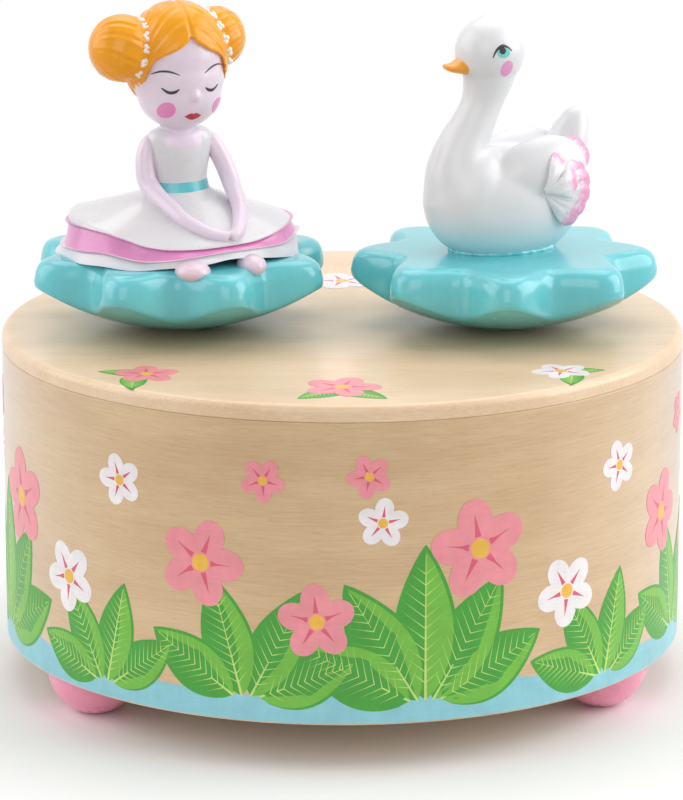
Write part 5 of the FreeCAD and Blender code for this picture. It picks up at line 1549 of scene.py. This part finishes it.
def brushed_metal_group():
    """Turned or rolled metal: fine lines one way and a cloudy tarnish."""
    group, given, result = new_group("BrushedMetal", Colour="Color", Polish="Float")
    point = object_point(group)
    lines = noise_node(group, scaled(group, point, (300.0, 300.0, 9000.0)), 1.0, 2.0)
    tarnish = noise_node(group, point, 180.0, 4.0)
    dulling = spread(group, tarnish, 0.35, 0.8, 0.0, 0.45)
    rough = math_node(group, "MULTIPLY_ADD", lines, 0.22, given["Polish"])
    feed(group, result,
         Colour=mixed(group, dulling, given["Colour"], (0.25, 0.21, 0.17), "MULTIPLY"),
         Roughness=math_node(group, "MULTIPLY_ADD", tarnish, 0.1, rough),
         Height=lines)
    return group


def metal(name, colour, polish):
    """Bare metal."""
    def brushed(tree):
        return place_group(tree, brushed_metal, Colour=colour, Polish=polish)
    return new_finish(name, METAL_BUMP, brushed, Metallic=1.0)


brushed_metal = brushed_metal_group()
brass = metal("movement_brass", linear(205, 165, 85), 0.22)
steel = metal("movement_steel", linear(176, 178, 184), 0.2)
plating = metal("movement_plating", linear(150, 148, 144), 0.34)
nickel = metal("nickel", linear(206, 205, 202), 0.12)
nylon = paint("nylon_moulding", linear(232, 231, 225), 0.2, 0.45, 0.0)
NODE_FINISH = {
    base_wood: ["base_plate", "plate_spigot"],
    plating: ["movement_bedplate", "comb_block", "spring_case"],
    steel: ["foot_screws", "movement_screws", "comb_screws", "mainspring", "music_comb", "winding_shaft",
            "ratchet_washer", "output_post", "cylinder_arbor", "idler_pinion", "governor_worm"],
    brass: ["inner_bearing", "governor_frame", "governor_tail_bearing", "governor_bridge", "crown_wheel",
            "music_cylinder", "cylinder_pinion", "cylinder_wheel", "worm_wheel", "governor_fan"],
    nickel: ["winding_key", "arm_magnets", "ballerina_magnet", "swan_magnet"],
    nylon: ["top_bush", "magnet_arm"],
}
for finish, nodes in NODE_FINISH.items():
    for node in nodes:
        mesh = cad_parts[node].data
        mesh.materials.clear()
        mesh.materials.append(finish)
    print(finish.name, "on", len(nodes), "nodes")

# %% [markdown]
# ## Ground and room
# The object stands on a white table in a white room. A white floor alone would turn grey under soft
# lamps, so it keeps the shadow near the object and fades out further off. The room is white to the
# camera and in reflections, and gives only a little light of its own.

# %% Ground and room
FADE_FROM = 0.10
FADE_TO = 0.24
ROOM_LIGHT = 0.4


def ground_material():
    """Matt white with a faint speckle, clear away from the object."""
    material = bpy.data.materials.new("white_ground")
    material.use_nodes = True
    tree = material.node_tree
    speck = noise_node(tree, object_point(tree), 40.0, 2.0)
    away = tree.nodes.new("ShaderNodeVectorMath")
    away.operation = "LENGTH"
    connect(tree, away.inputs[0], object_point(tree))
    feed(tree, tree.nodes["Principled BSDF"],
         Base_Color=mixed(tree, speck, (0.93, 0.93, 0.94), (0.90, 0.90, 0.91)),
         Roughness=0.7,
         Alpha=spread(tree, away.outputs["Value"], FADE_FROM, FADE_TO, 1.0, 0.0))
    return material


bpy.ops.mesh.primitive_plane_add(size=1.0, location=(0, 0, 0))
floor = bpy.context.object
floor.name = "ground"
floor.data.materials.append(ground_material())

world = bpy.data.worlds.new("studio")
bpy.context.scene.world = world
world.use_nodes = True
room = world.node_tree
paths = room.nodes.new("ShaderNodeLightPath").outputs
seen = math_node(room, "MAXIMUM", paths["Is Camera Ray"], paths["Is Glossy Ray"])
seen = math_node(room, "MAXIMUM", seen, paths["Is Transmission Ray"])
feed(room, room.nodes["Background"],
     Color=(1.0, 1.0, 1.0),
     Strength=math_node(room, "MULTIPLY_ADD", seen, 1.0 - ROOM_LIGHT, ROOM_LIGHT))
print("the ground fades out between", FADE_FROM, "and", FADE_TO, "m")

# %% [markdown]
# ## Lamps
# Large soft lamps stand round the object, as on a product table. One lamp over the camera would
# flatten the forms, so the strongest light comes from both sides and from above, where the rims
# catch it, and a weak lamp fills the front.

# %% Lamps
LAMP_AIM = Vector((0, 0, 0.06))
# Each lamp: its name, place, size and power.
LAMPS = (
    ("side_left", (-0.85, 0.0, 0.5), 0.9, 4.6),
    ("side_right", (0.85, 0.0, 0.5), 0.9, 7.6),
    ("overhead", (0.0, 0.35, 0.88), 0.8, 3.2),
    ("front_fill", (-0.15, -0.9, 0.45), 0.6, 1.8),
)


def aim(obj, place, target):
    """Puts a lamp or camera in its place, looking at a target."""
    obj.location = place
    obj.rotation_euler = (target - Vector(place)).to_track_quat("-Z", "Y").to_euler()
    bpy.context.scene.collection.objects.link(obj)


for name, place, size, power in LAMPS:
    light = bpy.data.lights.new(name, "AREA")
    light.size = size
    light.energy = power
    aim(bpy.data.objects.new(name, light), place, LAMP_AIM)
print(len(LAMPS), "lamps with", round(sum(lamp[3] for lamp in LAMPS), 1), "W together")

# %% [markdown]
# ## Camera
# The camera's height and distance come from the ellipses of the drum's two rims: the flatter they
# are, the lower it stands, and the more alike they are, the further away. That gives a long lens, a
# little above the top.

# %% Camera
DISTANCE = 0.8
ELEVATION = math.radians(14.54)
CAMERA_AIM = Vector((0, 0, 0.045))
camera_data = bpy.data.cameras.new("camera")
camera_data.lens = 202.5
camera_data.sensor_width = 36.0
camera_data.shift_x = -0.0009
camera_data.shift_y = 0.0261
camera = bpy.data.objects.new("camera", camera_data)
aim(camera, CAMERA_AIM + DISTANCE * Vector((0, -math.cos(ELEVATION), math.sin(ELEVATION))), CAMERA_AIM)
bpy.context.scene.camera = camera
bpy.context.scene.view_settings.view_transform = "Standard"
print("the camera stands at", [round(value, 3) for value in camera.location], "m")
